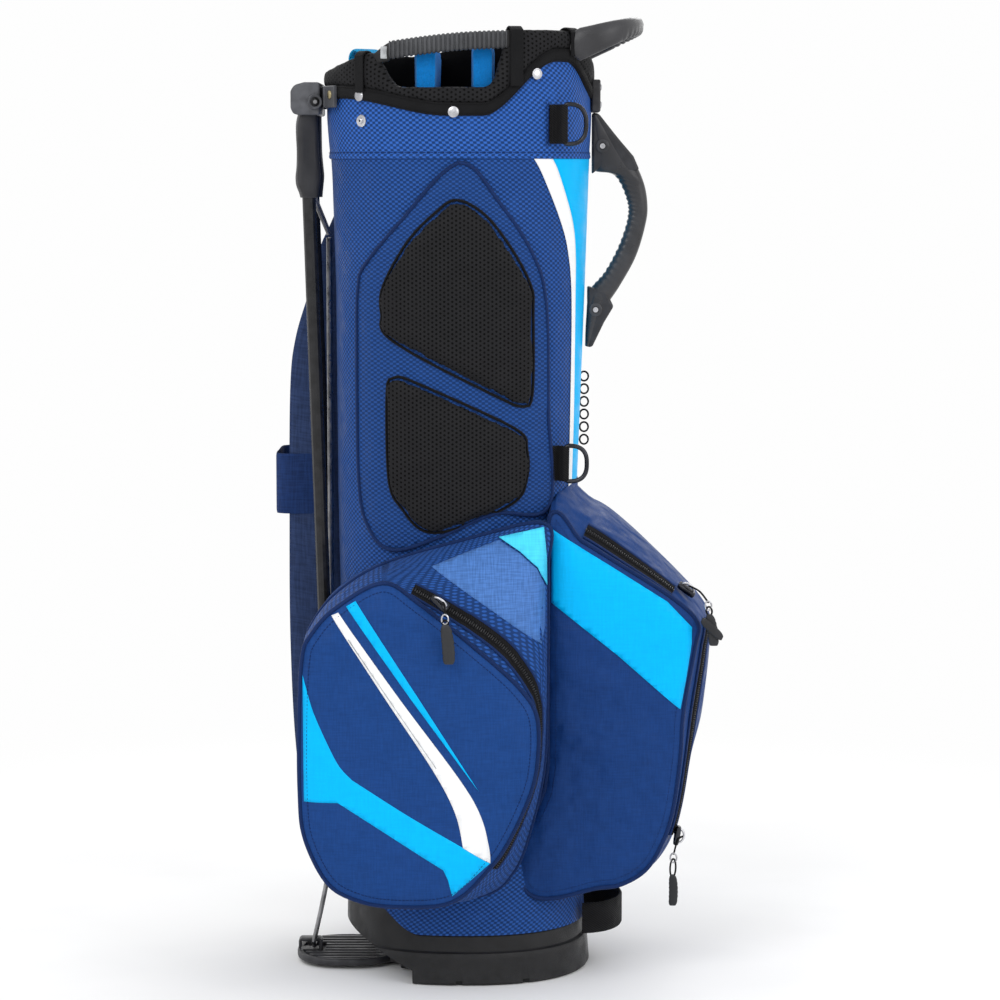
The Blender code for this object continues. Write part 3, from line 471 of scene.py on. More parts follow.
def frames_along(path, closed=False, across=None):
    """At each point of a path: the point, and two directions square to the path.

    across is one direction, or a list with one for each point.
    """
    count = len(path)
    side = None
    for i, point in enumerate(path):
        before = path[i - 1] if closed or i else path[0]
        after = path[(i + 1) % count] if closed else path[min(i + 1, count - 1)]
        ahead = (after - before).normalized()
        if across is not None:
            side = Vector(across[i] if isinstance(across, list) else across)
        elif side is None:
            side = ahead.orthogonal()
        side = (side - ahead * side.dot(ahead)).normalized()
        yield point, side, ahead.cross(side)


def round_section(sides=20):
    """Cosine and sine at equal turns round a section."""
    turns = [2 * math.pi * j / sides for j in range(sides)]
    return [(math.cos(turn), math.sin(turn)) for turn in turns]


def superellipse(count, power):
    """Points round a unit rounded square, as (across, up)."""
    points = []
    for c, s in round_section(count):
        across = math.copysign(abs(c) ** (2 / power), c)
        points.append((across, math.copysign(abs(s) ** (2 / power), s)))
    return points


def tube_mesh(path, radius, sides=12, closed=False, across=None):
    """A round cord along a path. radius may change along it."""
    rings = []
    path = [Vector(p) for p in path]
    for i, (point, side, out) in enumerate(frames_along(path, closed, across)):
        size = radius(i / (len(path) - 1)) if callable(radius) else radius
        rings.append([point + size * (c * side + s * out) for c, s in round_section(sides)])
    return skin(rings, looped=closed)


STRIP_SHARES = (-1, -0.9, -0.5, 0, 0.5, 0.9, 1)
STRIP_EDGE = 0.35  # how thick webbing is at its edges, as a share of its depth


def strip_mesh(path, width, depth, across):
    """Flat webbing or tape along a path: across points over its width."""
    rings = []
    for point, side, out in frames_along([Vector(p) for p in path], across=across):
        ring = []
        for way, shares in ((1, STRIP_SHARES), (-1, STRIP_SHARES[::-1])):
            for share in shares:
                edge = STRIP_EDGE if abs(share) == 1 else 1.0
                ring.append(point + side * width / 2 * share + out * (way * depth / 2 * edge))
        rings.append(ring)
    return skin(rings)


def joined(meshes):
    """Several meshes as one, each keeping its map."""
    shape = bmesh.new()
    for mesh in meshes:
        shape.from_mesh(mesh)
    made = bpy.data.meshes.new("shape")
    shape.to_mesh(made)
    shape.free()
    return made


THREAD_RADIUS = 0.00032


def stitches(name, path, normal_of, material=THREAD, gap=0.0034, slot=None):
    """A row of sewn stitches: each is a short thread that dives into the cloth at both ends."""
    meshes = []
    marks = evenly(path, gap)
    for a, b in zip(marks, marks[1:]):
        lift = Vector(normal_of(a)) * THREAD_RADIUS
        ends = [a.lerp(b, 0.14) - lift, a.lerp(b, 0.28) + lift]
        ends += [a.lerp(b, 0.72) + lift, a.lerp(b, 0.86) - lift]
        meshes.append(tube_mesh(ends, THREAD_RADIUS, 5))
    piece(name, joined(meshes), material, slot=slot)


def tree_of(*objects):
    """What rays can hit: the finished shape of these objects, together."""
    points, faces = [], []
    bpy.context.view_layer.update()
    graph = bpy.context.evaluated_depsgraph_get()
    for made in objects:
        mesh = made.evaluated_get(graph).to_mesh()
        start = len(points)
        points += [made.matrix_world @ v.co for v in mesh.vertices]
        faces += [tuple(start + i for i in p.vertices) for p in mesh.polygons]
    return BVHTree.FromPolygons(points, faces)


def hit(tree, place, ahead):
    """Where a ray from outside meets the cloth, and the way that the cloth faces there."""
    found, normal, _, _ = tree.ray_cast(place - 0.5 * ahead, ahead)
    if found is None:
        found, normal, _, _ = tree.find_nearest(place)
    return found, (-normal if normal.dot(ahead) > 0 else normal)


def laid(tree, places, ahead, lift=0.0):
    """Points of a line laid onto the cloth and lifted off it."""
    line = []
    for place in places:
        point, normal = hit(tree, Vector(place), ahead)
        line.append(point + normal * lift)
    return line


def applique(name, outline, tree, ahead, material, lift, cell=0.006, **more):
    """A thin panel or print with this outline, laid onto the cloth along ahead."""
    shape = bmesh.new()
    corners = [shape.verts.new(p) for p in outline]
    shape.faces.new(corners)
    across = Vector((0, 0, 1)).cross(ahead).normalized()
    for direction in (across, Vector((0, 0, 1))):
        spans = [v.co.dot(direction) for v in shape.verts]
        low, high = min(spans), max(spans)
        for i in range(1, math.ceil((high - low) / cell)):
            parts = shape.verts[:] + shape.edges[:] + shape.faces[:]
            place = direction * (low + i * cell)
            bmesh.ops.bisect_plane(shape, geom=parts, plane_co=place, plane_no=direction)
    layer = shape.loops.layers.uv.new("weave")
    for face in shape.faces:
        for loop in face.loops:
            loop[layer].uv = (loop.vert.co.dot(across), loop.vert.co.z)
    for vertex in shape.verts:
        point, normal = hit(tree, vertex.co.copy(), ahead)
        vertex.co = point + normal * lift
    bmesh.ops.recalc_face_normals(shape, faces=shape.faces)
    facing = sum(f.normal.dot(ahead) * f.calc_area() for f in shape.faces)
    if facing > 0:
        bmesh.ops.reverse_faces(shape, faces=shape.faces)
    mesh = bpy.data.meshes.new("shape")
    shape.to_mesh(mesh)
    shape.free()
    made = piece(name, mesh, material, slot=more["slot"], replaces=more.get("replaces", ()))
    return thick(made, more.get("depth", 0.0004))


def rough_up(mesh, depth, scale):
    """Moves each point along its normal by smooth noise, as cloth does between its seams."""
    for vertex in mesh.vertices:
        vertex.co = vertex.co + vertex.normal * noise.noise(vertex.co * scale) * depth


def one_material(made, material, angle=None):
    """A cut piece gets its one material back and, with an angle in degrees, its sharp edges."""
    made.data.materials.clear()
    made.data.materials.append(material)
    if angle:
        made.data.shade_smooth()
        made.data.set_sharp_from_angle(angle=math.radians(angle))


SEWING_STEP = 0.004  # distance between the points of a line laid onto cloth


# --- tube, cuff and mouth -----------------------------------------------------------------------

HIP_WAY = Vector((0, 1, 0))  # looking at the hip side
MOUTH_LEVEL = 0.8


def ring_at(height_of, offset, steps=ROUND_STEPS):
    """One ring of points round the tube, starting at the leg side so that the map's join is there."""
    ring = []
    for i in range(steps):
        turn = 2 * math.pi * i / steps - math.pi
        guess = wall_point(turn, SEAM_HEIGHT)
        height = height_of(guess.x, guess.y) if callable(height_of) else height_of
        ring.append(wall_point(turn, height, offset))
    return ring


def above(height_of, lift):
    """The same height function, raised by lift."""
    return lambda x, y: height_of(x, y) + lift


def round_band(low, high, profile, steps=ROUND_STEPS):
    """A closed ring of material round the tube: its profile is (share of the height, offset)."""
    rings = []
    for share, offset in profile:
        def height(x, y, share=share):
            bottom = low(x, y) if callable(low) else low
            top = high(x, y) if callable(high) else high
            return bottom + (top - bottom) * share

        rings.append(ring_at(height, offset, steps))
    return skin(rings, looped=True)


def tube_wall():
    """The long fabric tube: an outer and an inner wall, joined at both ends."""
    heights = [above(rim_height, 0.0006)] + [0.094 + 0.0115 * i for i in range(58)] + [SEAM_HEIGHT - 0.0004]
    rings = [ring_at(h, 0.0) for h in heights]
    rings += [ring_at(h, -0.0022) for h in reversed(heights)]
    mesh = skin(rings, looped=True)
    for loop in mesh.loops:
        mesh.uv_layers["weave"].data[loop.index].uv.y = mesh.vertices[loop.vertex_index].co.z
    return piece("tube_fabric", mesh, TUBE_CLOTH, slot="tube_cloth", replaces=["bag_tube"])


def cuff_band():
    """The wide band above the seam: its lower edge is folded over the tube."""
    low, high = SEAM_HEIGHT - 0.001, above(trim_height, 0.001)
    outer = [(0.0, 0.0002), (0.0, 0.0012), (0.03, 0.0020), (0.08, 0.0014), (0.14, 0.0008)]
    outer += [(0.14 + 0.86 * i / 8, 0.0008 + 0.0004 * math.sin(math.pi * i / 8)) for i in range(1, 9)]
    mesh = round_band(low, high, outer + [(1.0, -0.0024), (0.5, -0.0024), (0.03, -0.0024)])
    made = piece("cuff_band", mesh, CUFF_CLOTH, slot="tube_cloth", replaces=["top_cuff"])
    row = ring_at(SEAM_HEIGHT + 0.0045, 0.0016)
    stitches("cuff_seam_stitches", row + row[:1], lambda p: (p.x, p.y, 0), slot="tube_cloth")
    return made


def mouth_trim():
    """Black binding that follows the wavy edge of the cuff, with its two rows of stitching."""
    profile = [(0.0, -0.006), (0.0, 0.0012), (0.08, 0.0030), (0.25, 0.0038), (0.5, 0.0041), (0.75, 0.0038)]
    profile += [(0.92, 0.0030), (1.0, 0.0014), (1.0, -0.006)]
    mesh = round_band(trim_height, above(trim_height, TRIM_TALL), profile)
    piece("mouth_trim", mesh, BINDING, slot="webbing", replaces=["collar_trim"])
    for word, share in (("lower", 0.16), ("upper", 0.84)):
        row = ring_at(above(trim_height, TRIM_TALL * share), 0.0036)
        name = "trim_stitches_" + word
        stitches(name, row + row[:1], lambda p: (p.x, p.y, 0), BLACK_THREAD, slot="webbing")


def inflate(made, pressure, cap, frames, voxel, hold=None):
    """Stuffs a closed cloth by simulation: pressure swells it, and no point moves further than cap."""
    remesh = made.modifiers.new("remesh", "REMESH")
    remesh.mode = "VOXEL"
    remesh.voxel_size = voxel
    freeze(made)
    start = [v.co.copy() for v in made.data.vertices]
    if hold:
        pinned = made.vertex_groups.new(name="pinned")
        pinned.add([v.index for v in made.data.vertices if hold(v.co)], 1.0, "REPLACE")
    puffed = made.modifiers.new("cloth", "CLOTH")
    puffed.settings.use_pressure = True
    puffed.settings.uniform_pressure_force = pressure
    puffed.settings.quality = 5
    puffed.settings.effector_weights.gravity = 0
    if hold:
        puffed.settings.vertex_group_mass = "pinned"
    puffed.point_cache.frame_end = frames
    for step in range(1, frames + 1):
        bpy.context.scene.frame_set(step)
    freeze(made)
    for vertex, first in zip(made.data.vertices, start):
        step = vertex.co - first
        if step.length > cap:
            vertex.co = first + step * (cap / step.length)
    bpy.context.scene.frame_set(1)


def freeze(made):
    """The object's finished shape becomes its mesh, with no modifier left."""
    graph = bpy.context.evaluated_depsgraph_get()
    bpy.context.view_layer.update()
    mesh = bpy.data.meshes.new_from_object(made.evaluated_get(graph))
    made.modifiers.clear()
    made.data = mesh


def map_by(made, place_of):
    """Gives a piece a new weave map: place_of gives along and up in metres."""
    mesh = made.data
    layer = mesh.uv_layers.get("weave") or mesh.uv_layers.new(name="weave")
    for loop in mesh.loops:
        layer.data[loop.index].uv = place_of(mesh.vertices[loop.vertex_index].co)


def from_the_side(point):
    """Along and up a panel that faces the hip side or the far side, in metres."""
    return point.x, point.z


def round_the_tube(point):
    """Along and up the tube at a point, in metres."""
    return 0.110 * math.atan2(point.y, point.x), point.z


def mouth_pad():
    """The padded mesh roll round the mouth: stuffed, and pulled in where it is sewn to the trim."""
    def low(x, y):
        return trim_height(x, y) + TRIM_TALL - 0.001

    profile = [(0.0, -0.0080), (0.0, 0.0022), (0.10, 0.0034), (0.35, 0.0040), (0.65, 0.0040), (0.88, 0.0030)]
    profile += [(1.0, 0.0004), (1.0, -0.0044), (0.88, -0.0074), (0.5, -0.0082)]
    mesh = round_band(low, pad_height, profile, 144)
    made = piece("mouth_pad", mesh, BLACK_MESH, slot="black_mesh", replaces=["collar_pad"])
    inflate(made, 3.0, 0.0022, 12, 0.0042, lambda p: p.z < low(p.x, p.y) + 0.003)
    softened(made)
    freeze(made)
    map_by(made, round_the_tube)
    # The faces turned in towards the tube's axis get near-black: painted shade inside the mouth.
    made.data.materials.append(INSIDE_PAINTED_SHADE)
    for face in made.data.polygons:
        if face.normal.x * face.center.x + face.normal.y * face.center.y < -0.02:
            face.material_index = 1
    made.data.shade_smooth()


def wall_ways(turn, height=MOUTH_LEVEL, offset=0.0):
    """The way along the tube's wall at this turn, and the way out of it."""
    ahead = wall_point(turn + 0.02, height, offset) - wall_point(turn - 0.02, height, offset)
    ahead.normalize()
    return ahead, Vector((ahead.y, -ahead.x, 0))


def mouth_extras():
    """Three narrow bands over the padded rim: at the spine, at the hand slot and on the leg side."""
    for word, turn, wide in (("spine", -0.62, 0.014), ("slot", -1.19, 0.012), ("leg", -2.30, 0.010)):
        centre = wall_point(turn, MOUTH_LEVEL, -0.002)
        low = trim_height(centre.x, centre.y) + TRIM_TALL * 0.6
        high = pad_height(centre.x, centre.y) + 0.0012
        ahead, out = wall_ways(turn)
        path = [centre + out * 0.0078 + Vector((0, 0, low - centre.z))]
        for i in range(9):
            spin = math.pi * i / 8
            lift = high - 0.006 + 0.0062 * math.sin(spin)
            path.append(centre + out * (0.0008 + 0.0072 * math.cos(spin)) + Vector((0, 0, lift - centre.z)))
        path.append(centre - out * 0.0068 + Vector((0, 0, low - centre.z)))
        mesh = strip_mesh(curved(path, 4), wide, 0.0016, ahead)
        piece("rim_band_" + word, mesh, BINDING, slot="webbing")


def rim_fleece():
    """The fleece roll over the far side of the rim, beside the first compartment."""
    turn = 2.38
    centre = wall_point(turn, MOUTH_LEVEL, -0.002)
    ahead, out = wall_ways(turn)
    high = pad_height(centre.x, centre.y) + 0.0110
    path = [centre - out * 0.0085 + Vector((0, 0, 0.022))]
    for i in range(13):
        spin = math.pi * i / 12
        lift = high - 0.0095 + 0.0095 * math.sin(spin)
        path.append(centre - out * 0.0078 * math.cos(spin) + Vector((0, 0, lift - centre.z)))
    mesh = strip_mesh(curved(path, 3), 0.030, 0.0030, ahead)
    made = softened(piece("rim_fleece", mesh, BRIGHT_FLEECE, slot="fleece"))


DIVIDER_PLACES = (-0.031, 0.020, 0.071)
RAIL_START = -0.1085
HALF_PANEL = 0.0008


def dividers():
    """Fleece-wrapped cross walls and rail, and the three full-length panels below them."""
    meshes = []
    for x in DIVIDER_PLACES:
        reach = min(side_y(x + edge, 0.820, -0.0095) for edge in (-0.0095, 0.0095)) - 0.0005
        rings = []
        for i in range(25):
            share = -1 + i / 12
            top = 0.8625 - 0.006 * share * share
            pinch = 1 - 0.10 * math.cos(6 * math.pi * share)
            section = []
            for c, s in round_section():
                lift = 0.0 if s < 0 else top - 0.830
                section.append((x + 0.0095 * c * pinch, share * reach, 0.826 + 0.009 * s + lift))
            rings.append(section)
        meshes.append(skin(rings))
    rail = []
    for i in range(31):
        x = RAIL_START + (DIVIDER_PLACES[-1] - RAIL_START) * i / 30
        rail.append([(x, 0.0085 * c, 0.8200 + 0.0065 * s) for c, s in round_section()])
    meshes.append(skin(rail))
    grid = piece("divider_tops", joined(meshes), FLEECE, slot="fleece", replaces=["divider_grid"])
    rough_up(grid.data, 0.0008, 160)
    for x, word in zip(DIVIDER_PLACES, ("leg", "middle", "spine")):
        name = "divider_panel_" + word
        low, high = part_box(name)
        rings = []
        for share in [i / 24 for i in range(25)]:
            z = low.z + (high.z - low.z) * share
            front, back = [], []
            for i in range(17):
                wave = 0.0012 * math.sin(9 * math.pi * (i / 16) + 5 * share)
                y = low.y + (high.y - low.y) * i / 16
                front.append((x + wave - HALF_PANEL, y, z))
                back.append((x + wave + HALF_PANEL, y, z))
            rings.append(front + back[::-1])
        sheet = piece(name + "_fleece", skin(rings), FLEECE, slot="fleece", replaces=[name])


# --- base ---------------------------------------------------------------------------------------

SIDES_OF_BAG = ((-1, "near"), (1, "far"))
CHAMFER_START = Vector((-0.0455, 0.0, 0.0125))
CHAMFER_SLOPE = math.tan(math.radians(26))


def cut_away(made, mesh):
    """Cuts a helper shape out of a piece for good."""
    helper = bpy.data.objects.new("cutter", mesh)
    bpy.context.scene.collection.objects.link(helper)
    cut = made.modifiers.new("cut", "BOOLEAN")
    cut.operation = "DIFFERENCE"
    cut.object = helper
    bpy.context.view_layer.update()
    freeze(made)
    bpy.data.objects.remove(helper, do_unlink=True)


def block_mesh(low, high):
    """A box between two opposite corners."""
    corners = [Vector((x, y, z)) for z in (low[2], high[2]) for x, y in
               ((low[0], low[1]), (high[0], low[1]), (high[0], high[1]), (low[0], high[1]))]
    return skin([corners[:4], corners[4:]])


def underside_wedge():
    """Everything below the base's sloping underside."""
    start, far = CHAMFER_START, -0.20
    outline = ((far, -0.01), (start.x, -0.01), (start.x, start.z),
               (far, start.z + (start.x - far) * CHAMFER_SLOPE))
    return skin([[(x, y, z) for x, z in outline] for y in (-0.15, 0.15)])


def base():
    """The moulded base: a rounded foot, a step with a rubbed edge, and a thin rim round the tube."""
    profile = [(0.0, -0.0036), (0.0006, -0.0014), (0.0026, 0.0), (0.024, 0.0004), (0.0278, 0.0004)]
    profile += [(0.0296, -0.0004), (0.0304, -0.0022), (0.0312, -0.0028)]
    rings = [ring_at(z, offset) for z, offset in profile]
    rings += [ring_at(above(rim_height, -0.0012), -0.0028), ring_at(rim_height, -0.0036)]
    rings += [ring_at(rim_height, -0.0064), ring_at(above(rim_height, -0.002), -0.0070)]
    rings += [ring_at(0.0075, -0.0070), ring_at(0.0060, -0.0100)]
    made = piece("moulded_base", skin(rings), BASE_PLASTIC, slot="moulded_base", replaces=["base_shell"])
    cut_away(made, underside_wedge())
    for x in (-0.002, 0.060):
        for side in (-1, 1):
            y = side * side_y(x, 0.004)
            notch = block_mesh((x - 0.003, y - 0.004, -0.002), (x + 0.003, y + 0.004, 0.0045))
            cut_away(made, notch)
    one_material(made, BASE_PLASTIC, 32)
    for side, word in SIDES_OF_BAG:
        low, high = sorted((side * 0.0402, side * 0.0518))
        lug = block_mesh((-0.0578, low, 0.0014), (-0.0440, high, 0.0142))
        bevelled(piece("pedal_lug_" + word, lug, BASE_PLASTIC, slot="moulded_base"), 0.0012)


# --- spine graphics -----------------------------------------------------------------------------

# Height, where the white stripe begins and where it gives way to cyan, along X.
SPINE_STRIPE = (
    (0.7600, 0.0660, 0.0830), (0.7450, 0.0740, 0.0895), (0.7060, 0.0895, 0.1010), (0.6750, 0.0975, 0.1045),
    (0.6290, 0.1010, 0.1045), (0.5240, 0.1000, 0.1035), (0.4500, 0.0985, 0.1015), (0.3900, 0.0985, 0.1015),
)


def spine_graphics():
    """White stripes on both sides of the spine, with cyan between them."""
    table = curved([(z, white, cyan) for z, white, cyan in SPINE_STRIPE], 6)

    def strip(name, edges_of, count, material):
        rings = []
        for z, white, cyan in table:
            start, end = edges_of(turn_at(white, z), turn_at(cyan, z))
            turns = [start + (end - start) * i / count for i in range(count + 1)]
            rings.append([wall_point(turn, z, 0.0007) for turn in turns])
        made = piece(name, skin(rings, closed=False), material, slot="tube_cloth")
        thick(made, 0.0004, 0.0)

    strip("spine_stripe_near", lambda a, b: (-a, -b), 6, WHITE_CLOTH)
    strip("spine_stripe_far", lambda a, b: (b, a), 6, WHITE_CLOTH)
    strip("spine_panel", lambda a, b: (-b, b), 28, CYAN_CLOTH)


# --- hip pad ------------------------------------------------------------------------------------

PAD_OUTLINE = (
    (-0.0010, 0.7565), (0.0375, 0.7167), (0.0650, 0.6720), (0.0762, 0.6290), (0.0785, 0.5300),
    (0.0790, 0.4420), (0.0305, 0.4385), (-0.0200, 0.4170), (-0.0620, 0.4040), (-0.0843, 0.4250),
    (-0.0925, 0.4708), (-0.0935, 0.6000), (-0.0919, 0.6443), (-0.0863, 0.6630), (-0.0549, 0.7016),
)
UPPER_MESH = (
    (-0.0028, 0.7230), (0.0230, 0.7090), (0.0480, 0.6760), (0.0640, 0.6440), (0.0655, 0.6200),
    (0.0650, 0.5480), (0.0565, 0.5360), (0.0300, 0.5470), (-0.0620, 0.5960), (-0.0715, 0.6200),
    (-0.0700, 0.6450), (-0.0480, 0.6850), (-0.0220, 0.7120),
)
LOWER_MESH = (
    (-0.0610, 0.5620), (-0.0400, 0.5580), (0.0480, 0.5170), (0.0600, 0.4960), (0.0600, 0.4700),
    (0.0480, 0.4480), (-0.0050, 0.4250), (-0.0340, 0.4230), (-0.0530, 0.4420), (-0.0655, 0.4680),
    (-0.0670, 0.5480),
)


QUILT_REACH = 0.02


def from_edge(x, z, outline):
    """Distance in the XZ plane from a point to a closed outline."""
    best = 1.0
    for a, b in zip(outline, outline[1:] + outline[:1]):
        run_x, run_z = b.x - a.x, b.z - a.z
        share = ((x - a.x) * run_x + (z - a.z) * run_z) / (run_x * run_x + run_z * run_z or 1.0)
        share = max(0.0, min(1.0, share))
        best = min(best, math.hypot(x - a.x - share * run_x, z - a.z - share * run_z))
    return best


def standing(corners, steps=6, y=-0.3):
    """A smooth closed outline, standing in front of the bag, from corners given as (x, z)."""
    return curved([(x, y, z) for x, z in corners], steps, closed=True)


def shrunk_in(outline, distance):
    """The outline moved inwards by a distance."""
    count = len(outline)
    turn = sum(a.x * b.z - b.x * a.z for a, b in zip(outline, outline[1:] + outline[:1]))
    found = []
    for i in range(count):
        ahead = (outline[(i + 1) % count] - outline[i - 1]).normalized()
        inward = Vector((-ahead.z, 0, ahead.x)) * math.copysign(1, turn)
        found.append(outline[i] + inward * distance)
    return found


def crowned(made, outline, height, fall):
    """Raises a laid panel towards its middle, as padding under it does."""
    for vertex in made.data.vertices:
        edge = from_edge(vertex.co.x, vertex.co.z, outline)
        vertex.co = vertex.co + vertex.normal * height * (1 - math.exp(-edge / fall))


def hip_pad(tube):
    """The padded hip panel: quilted cloth with a piped edge and two stuffed spacer-mesh pads."""
    outline = standing(PAD_OUTLINE)
    panel = applique("hip_pad_panel", outline, tube, HIP_WAY, PAD_CLOTH, lift=0.0022, cell=0.005,
                     slot="tube_cloth", replaces=["hip_pad_base"], depth=0.0018)
    crowned(panel, outline, 0.0026, 0.007)
    quilted_round = standing(UPPER_MESH, 3)
    for vertex in panel.data.vertices:
        groove = min(from_edge(vertex.co.x, vertex.co.z, quilted_round), QUILT_REACH)
        vertex.co = vertex.co + vertex.normal * 0.0004 * math.cos(groove / QUILT_REACH * math.pi * 3)
    line = laid(tube, evenly(outline, SEWING_STEP, True), HIP_WAY, 0.0022)
    piece("hip_pad_piping", tube_mesh(line, 0.0018, 10, closed=True), DARK_PIPING, slot="tube_cloth")
    cloth_top = tree_of(panel)
    for word, corners in (("upper", UPPER_MESH), ("lower", LOWER_MESH)):
        edge = standing(corners)
        name = "hip_pad_mesh_" + word
        pad = applique(name + "_pad", shrunk_in(edge, 0.0012), cloth_top, HIP_WAY, BLACK_MESH,
                       lift=0.0040, cell=0.004, slot="black_mesh", replaces=[name], depth=0.0048)
        crowned(pad, edge, 0.0028, 0.010)
        freeze(pad)
        inflate(pad, 4.0, 0.0025, 16, 0.0028)
        softened(pad)
        freeze(pad)
        map_by(pad, from_the_side)
        pad.data.shade_smooth()
        line = laid(cloth_top, evenly(edge, SEWING_STEP, True), HIP_WAY, 0.0006)
        piece(name + "_binding", tube_mesh(line, 0.0013, 8, closed=True), BINDING, slot="black_mesh")


# --- pockets ------------------------------------------------------------------------------------

HIP_FRONT = (
    (-0.0690, 0.3840), (-0.1110, 0.3610), (-0.1320, 0.3380), (-0.1400, 0.3180), (-0.1430, 0.2600),
    (-0.1430, 0.1960), (-0.1390, 0.1550), (-0.1200, 0.1150), (-0.0960, 0.0990), (-0.0610, 0.0920),
    (-0.0080, 0.0960), (0.0270, 0.1280), (0.0450, 0.1550), (0.0630, 0.1960), (0.0690, 0.2280),
    (0.0680, 0.2640), (0.0540, 0.2880), (0.0220, 0.3180), (-0.0360, 0.3650),
)
HIP_BACK = (
    (-0.0720, 0.3920), (-0.1130, 0.3660), (-0.1340, 0.3400), (-0.1410, 0.3180), (-0.1440, 0.2600),
    (-0.1440, 0.1960), (-0.1400, 0.1550), (-0.1220, 0.1120), (-0.0980, 0.0940), (-0.0610, 0.0860),
    (0.0180, 0.0860), (0.0480, 0.1080), (0.0640, 0.1500), (0.0750, 0.2000), (0.0780, 0.2500),
    (0.0790, 0.3200), (0.0790, 0.3900), (0.0760, 0.4300), (0.0000, 0.4140),
)
HIP_FRONT_Y, HIP_BACK_Y, HIP_END_Y = -0.178, -0.110, -0.057
BALL_SIDE = (
    (0.0560, 0.0880), (0.1281, 0.0895), (0.1530, 0.0950), (0.1732, 0.1100), (0.1878, 0.1382),
    (0.1951, 0.1654), (0.2010, 0.2100), (0.2040, 0.2560), (0.2140, 0.3140), (0.2160, 0.3375),
    (0.1911, 0.3610), (0.1400, 0.3935), (0.1100, 0.4120), (0.0790, 0.4300), (0.0560, 0.2500),
)
BALL_MIDDLE = (
    (0.0560, 0.0860), (0.1297, 0.0850), (0.1600, 0.0880), (0.1830, 0.1000), (0.1990, 0.1230),
    (0.2090, 0.1560), (0.2170, 0.2000), (0.2270, 0.2400), (0.2330, 0.3000), (0.2330, 0.3350),
    (0.2040, 0.3720), (0.1560, 0.4180), (0.1250, 0.4400), (0.0790, 0.4520), (0.0560, 0.2500),
)
BALL_BRIGHT = (
    (0.0830, 0.4240), (0.0830, 0.3560), (0.1430, 0.3080), (0.2010, 0.2570), (0.2060, 0.2850),
    (0.2110, 0.3180), (0.2115, 0.3330), (0.1890, 0.3565), (0.1400, 0.3875), (0.1100, 0.4060),
)
APPAREL_OUTLINE = (
    (-0.0950, 0.7250), (-0.1300, 0.6900), (-0.1455, 0.6380), (-0.1600, 0.5900), (-0.1655, 0.5400),
    (-0.1670, 0.4200), (-0.1670, 0.3000), (-0.1620, 0.1900), (-0.1500, 0.1150), (-0.1200, 0.0880),
    (0.0100, 0.0860), (0.0500, 0.1000), (0.0720, 0.1600), (0.0760, 0.3500), (0.0760, 0.5600),
    (0.0700, 0.6800), (0.0400, 0.7250),
)
POCKET_STEPS = 8
PIPING = 0.0021


def at_y(outline, y):
    """The outline moved to this y."""
    return [Vector((p.x, y, p.z)) for p in outline]


def toward_middle(outline, share):
    """The outline shrunk towards its middle."""
    middle = sum(outline, Vector()) / len(outline)
    found = []
    for p in outline:
        found.append(Vector((middle.x + (p.x - middle.x) * share, p.y, middle.z + (p.z - middle.z) * share)))
    return found


# Size of each ring of a panel as a share of its outline, and how far the ring has risen.
CROWN = (
    (1.0, 0.0), (0.985, 0.16), (0.96, 0.32), (0.92, 0.52), (0.86, 0.70), (0.78, 0.83), (0.66, 0.92),
    (0.52, 0.97), (0.36, 0.99), (0.18, 1.0), (0.05, 1.0),
)


def panel_mesh(outline, edge_y, out_y, way):
    """A panel that crowns from its seam at edge_y to out_y in the middle. way is its side of the bag."""
    rings = []
    for share, rise in CROWN:
        y = edge_y + (out_y - edge_y) * rise
        ring = at_y(toward_middle(outline, share), y)
        for point in ring:
            calm = min(1.0, (1 - share) * 6)
            point.y += way * 0.0016 * calm * noise.noise(Vector((point.x * 16, 3.0 * way, point.z * 13)))
        rings.append(ring)
    return skin(rings)


def outside_tube(point, lift=0.0008):
    """A point of a pocket moved out to the tube's wall, if it lies inside the tube."""
    wall = side_y(point.x, point.z, lift)
    if abs(point.y) < wall:
        return Vector((point.x, math.copysign(wall, point.y), point.z))
    return point


def along_corners(outline, first, last):
    """The stretch of a smooth outline between two of its corners."""
    return outline[first * POCKET_STEPS:last * POCKET_STEPS + 1]


def piped(name, outline, y, slot="pocket_cloth"):
    """Piping on a panel's seam, just outside its outline."""
    line = evenly(at_y(shrunk_in(outline, -0.0006), y), SEWING_STEP, True)
    piece(name, tube_mesh(line, PIPING, 10, closed=True), DARK_PIPING, slot=slot)


def sewn_round(name, face, outline, ahead, way=1, slot="pocket_cloth"):
    """A row of stitching on a panel, just inside its outline."""
    row = evenly(laid(tree_of(face), shrunk_in(outline, 0.0065), ahead), SEWING_STEP, True)
    stitches(name, row + row[:1], lambda p: (0, way, 0), slot=slot)


TUBE_BEHIND = -0.112  # towards the legs from here, the pocket's edge has no tube behind it


def hip_middle(y):
    """The hip pocket's middle at this y: its gusset faces away from it."""
    return Vector((-0.03, y, 0.24))


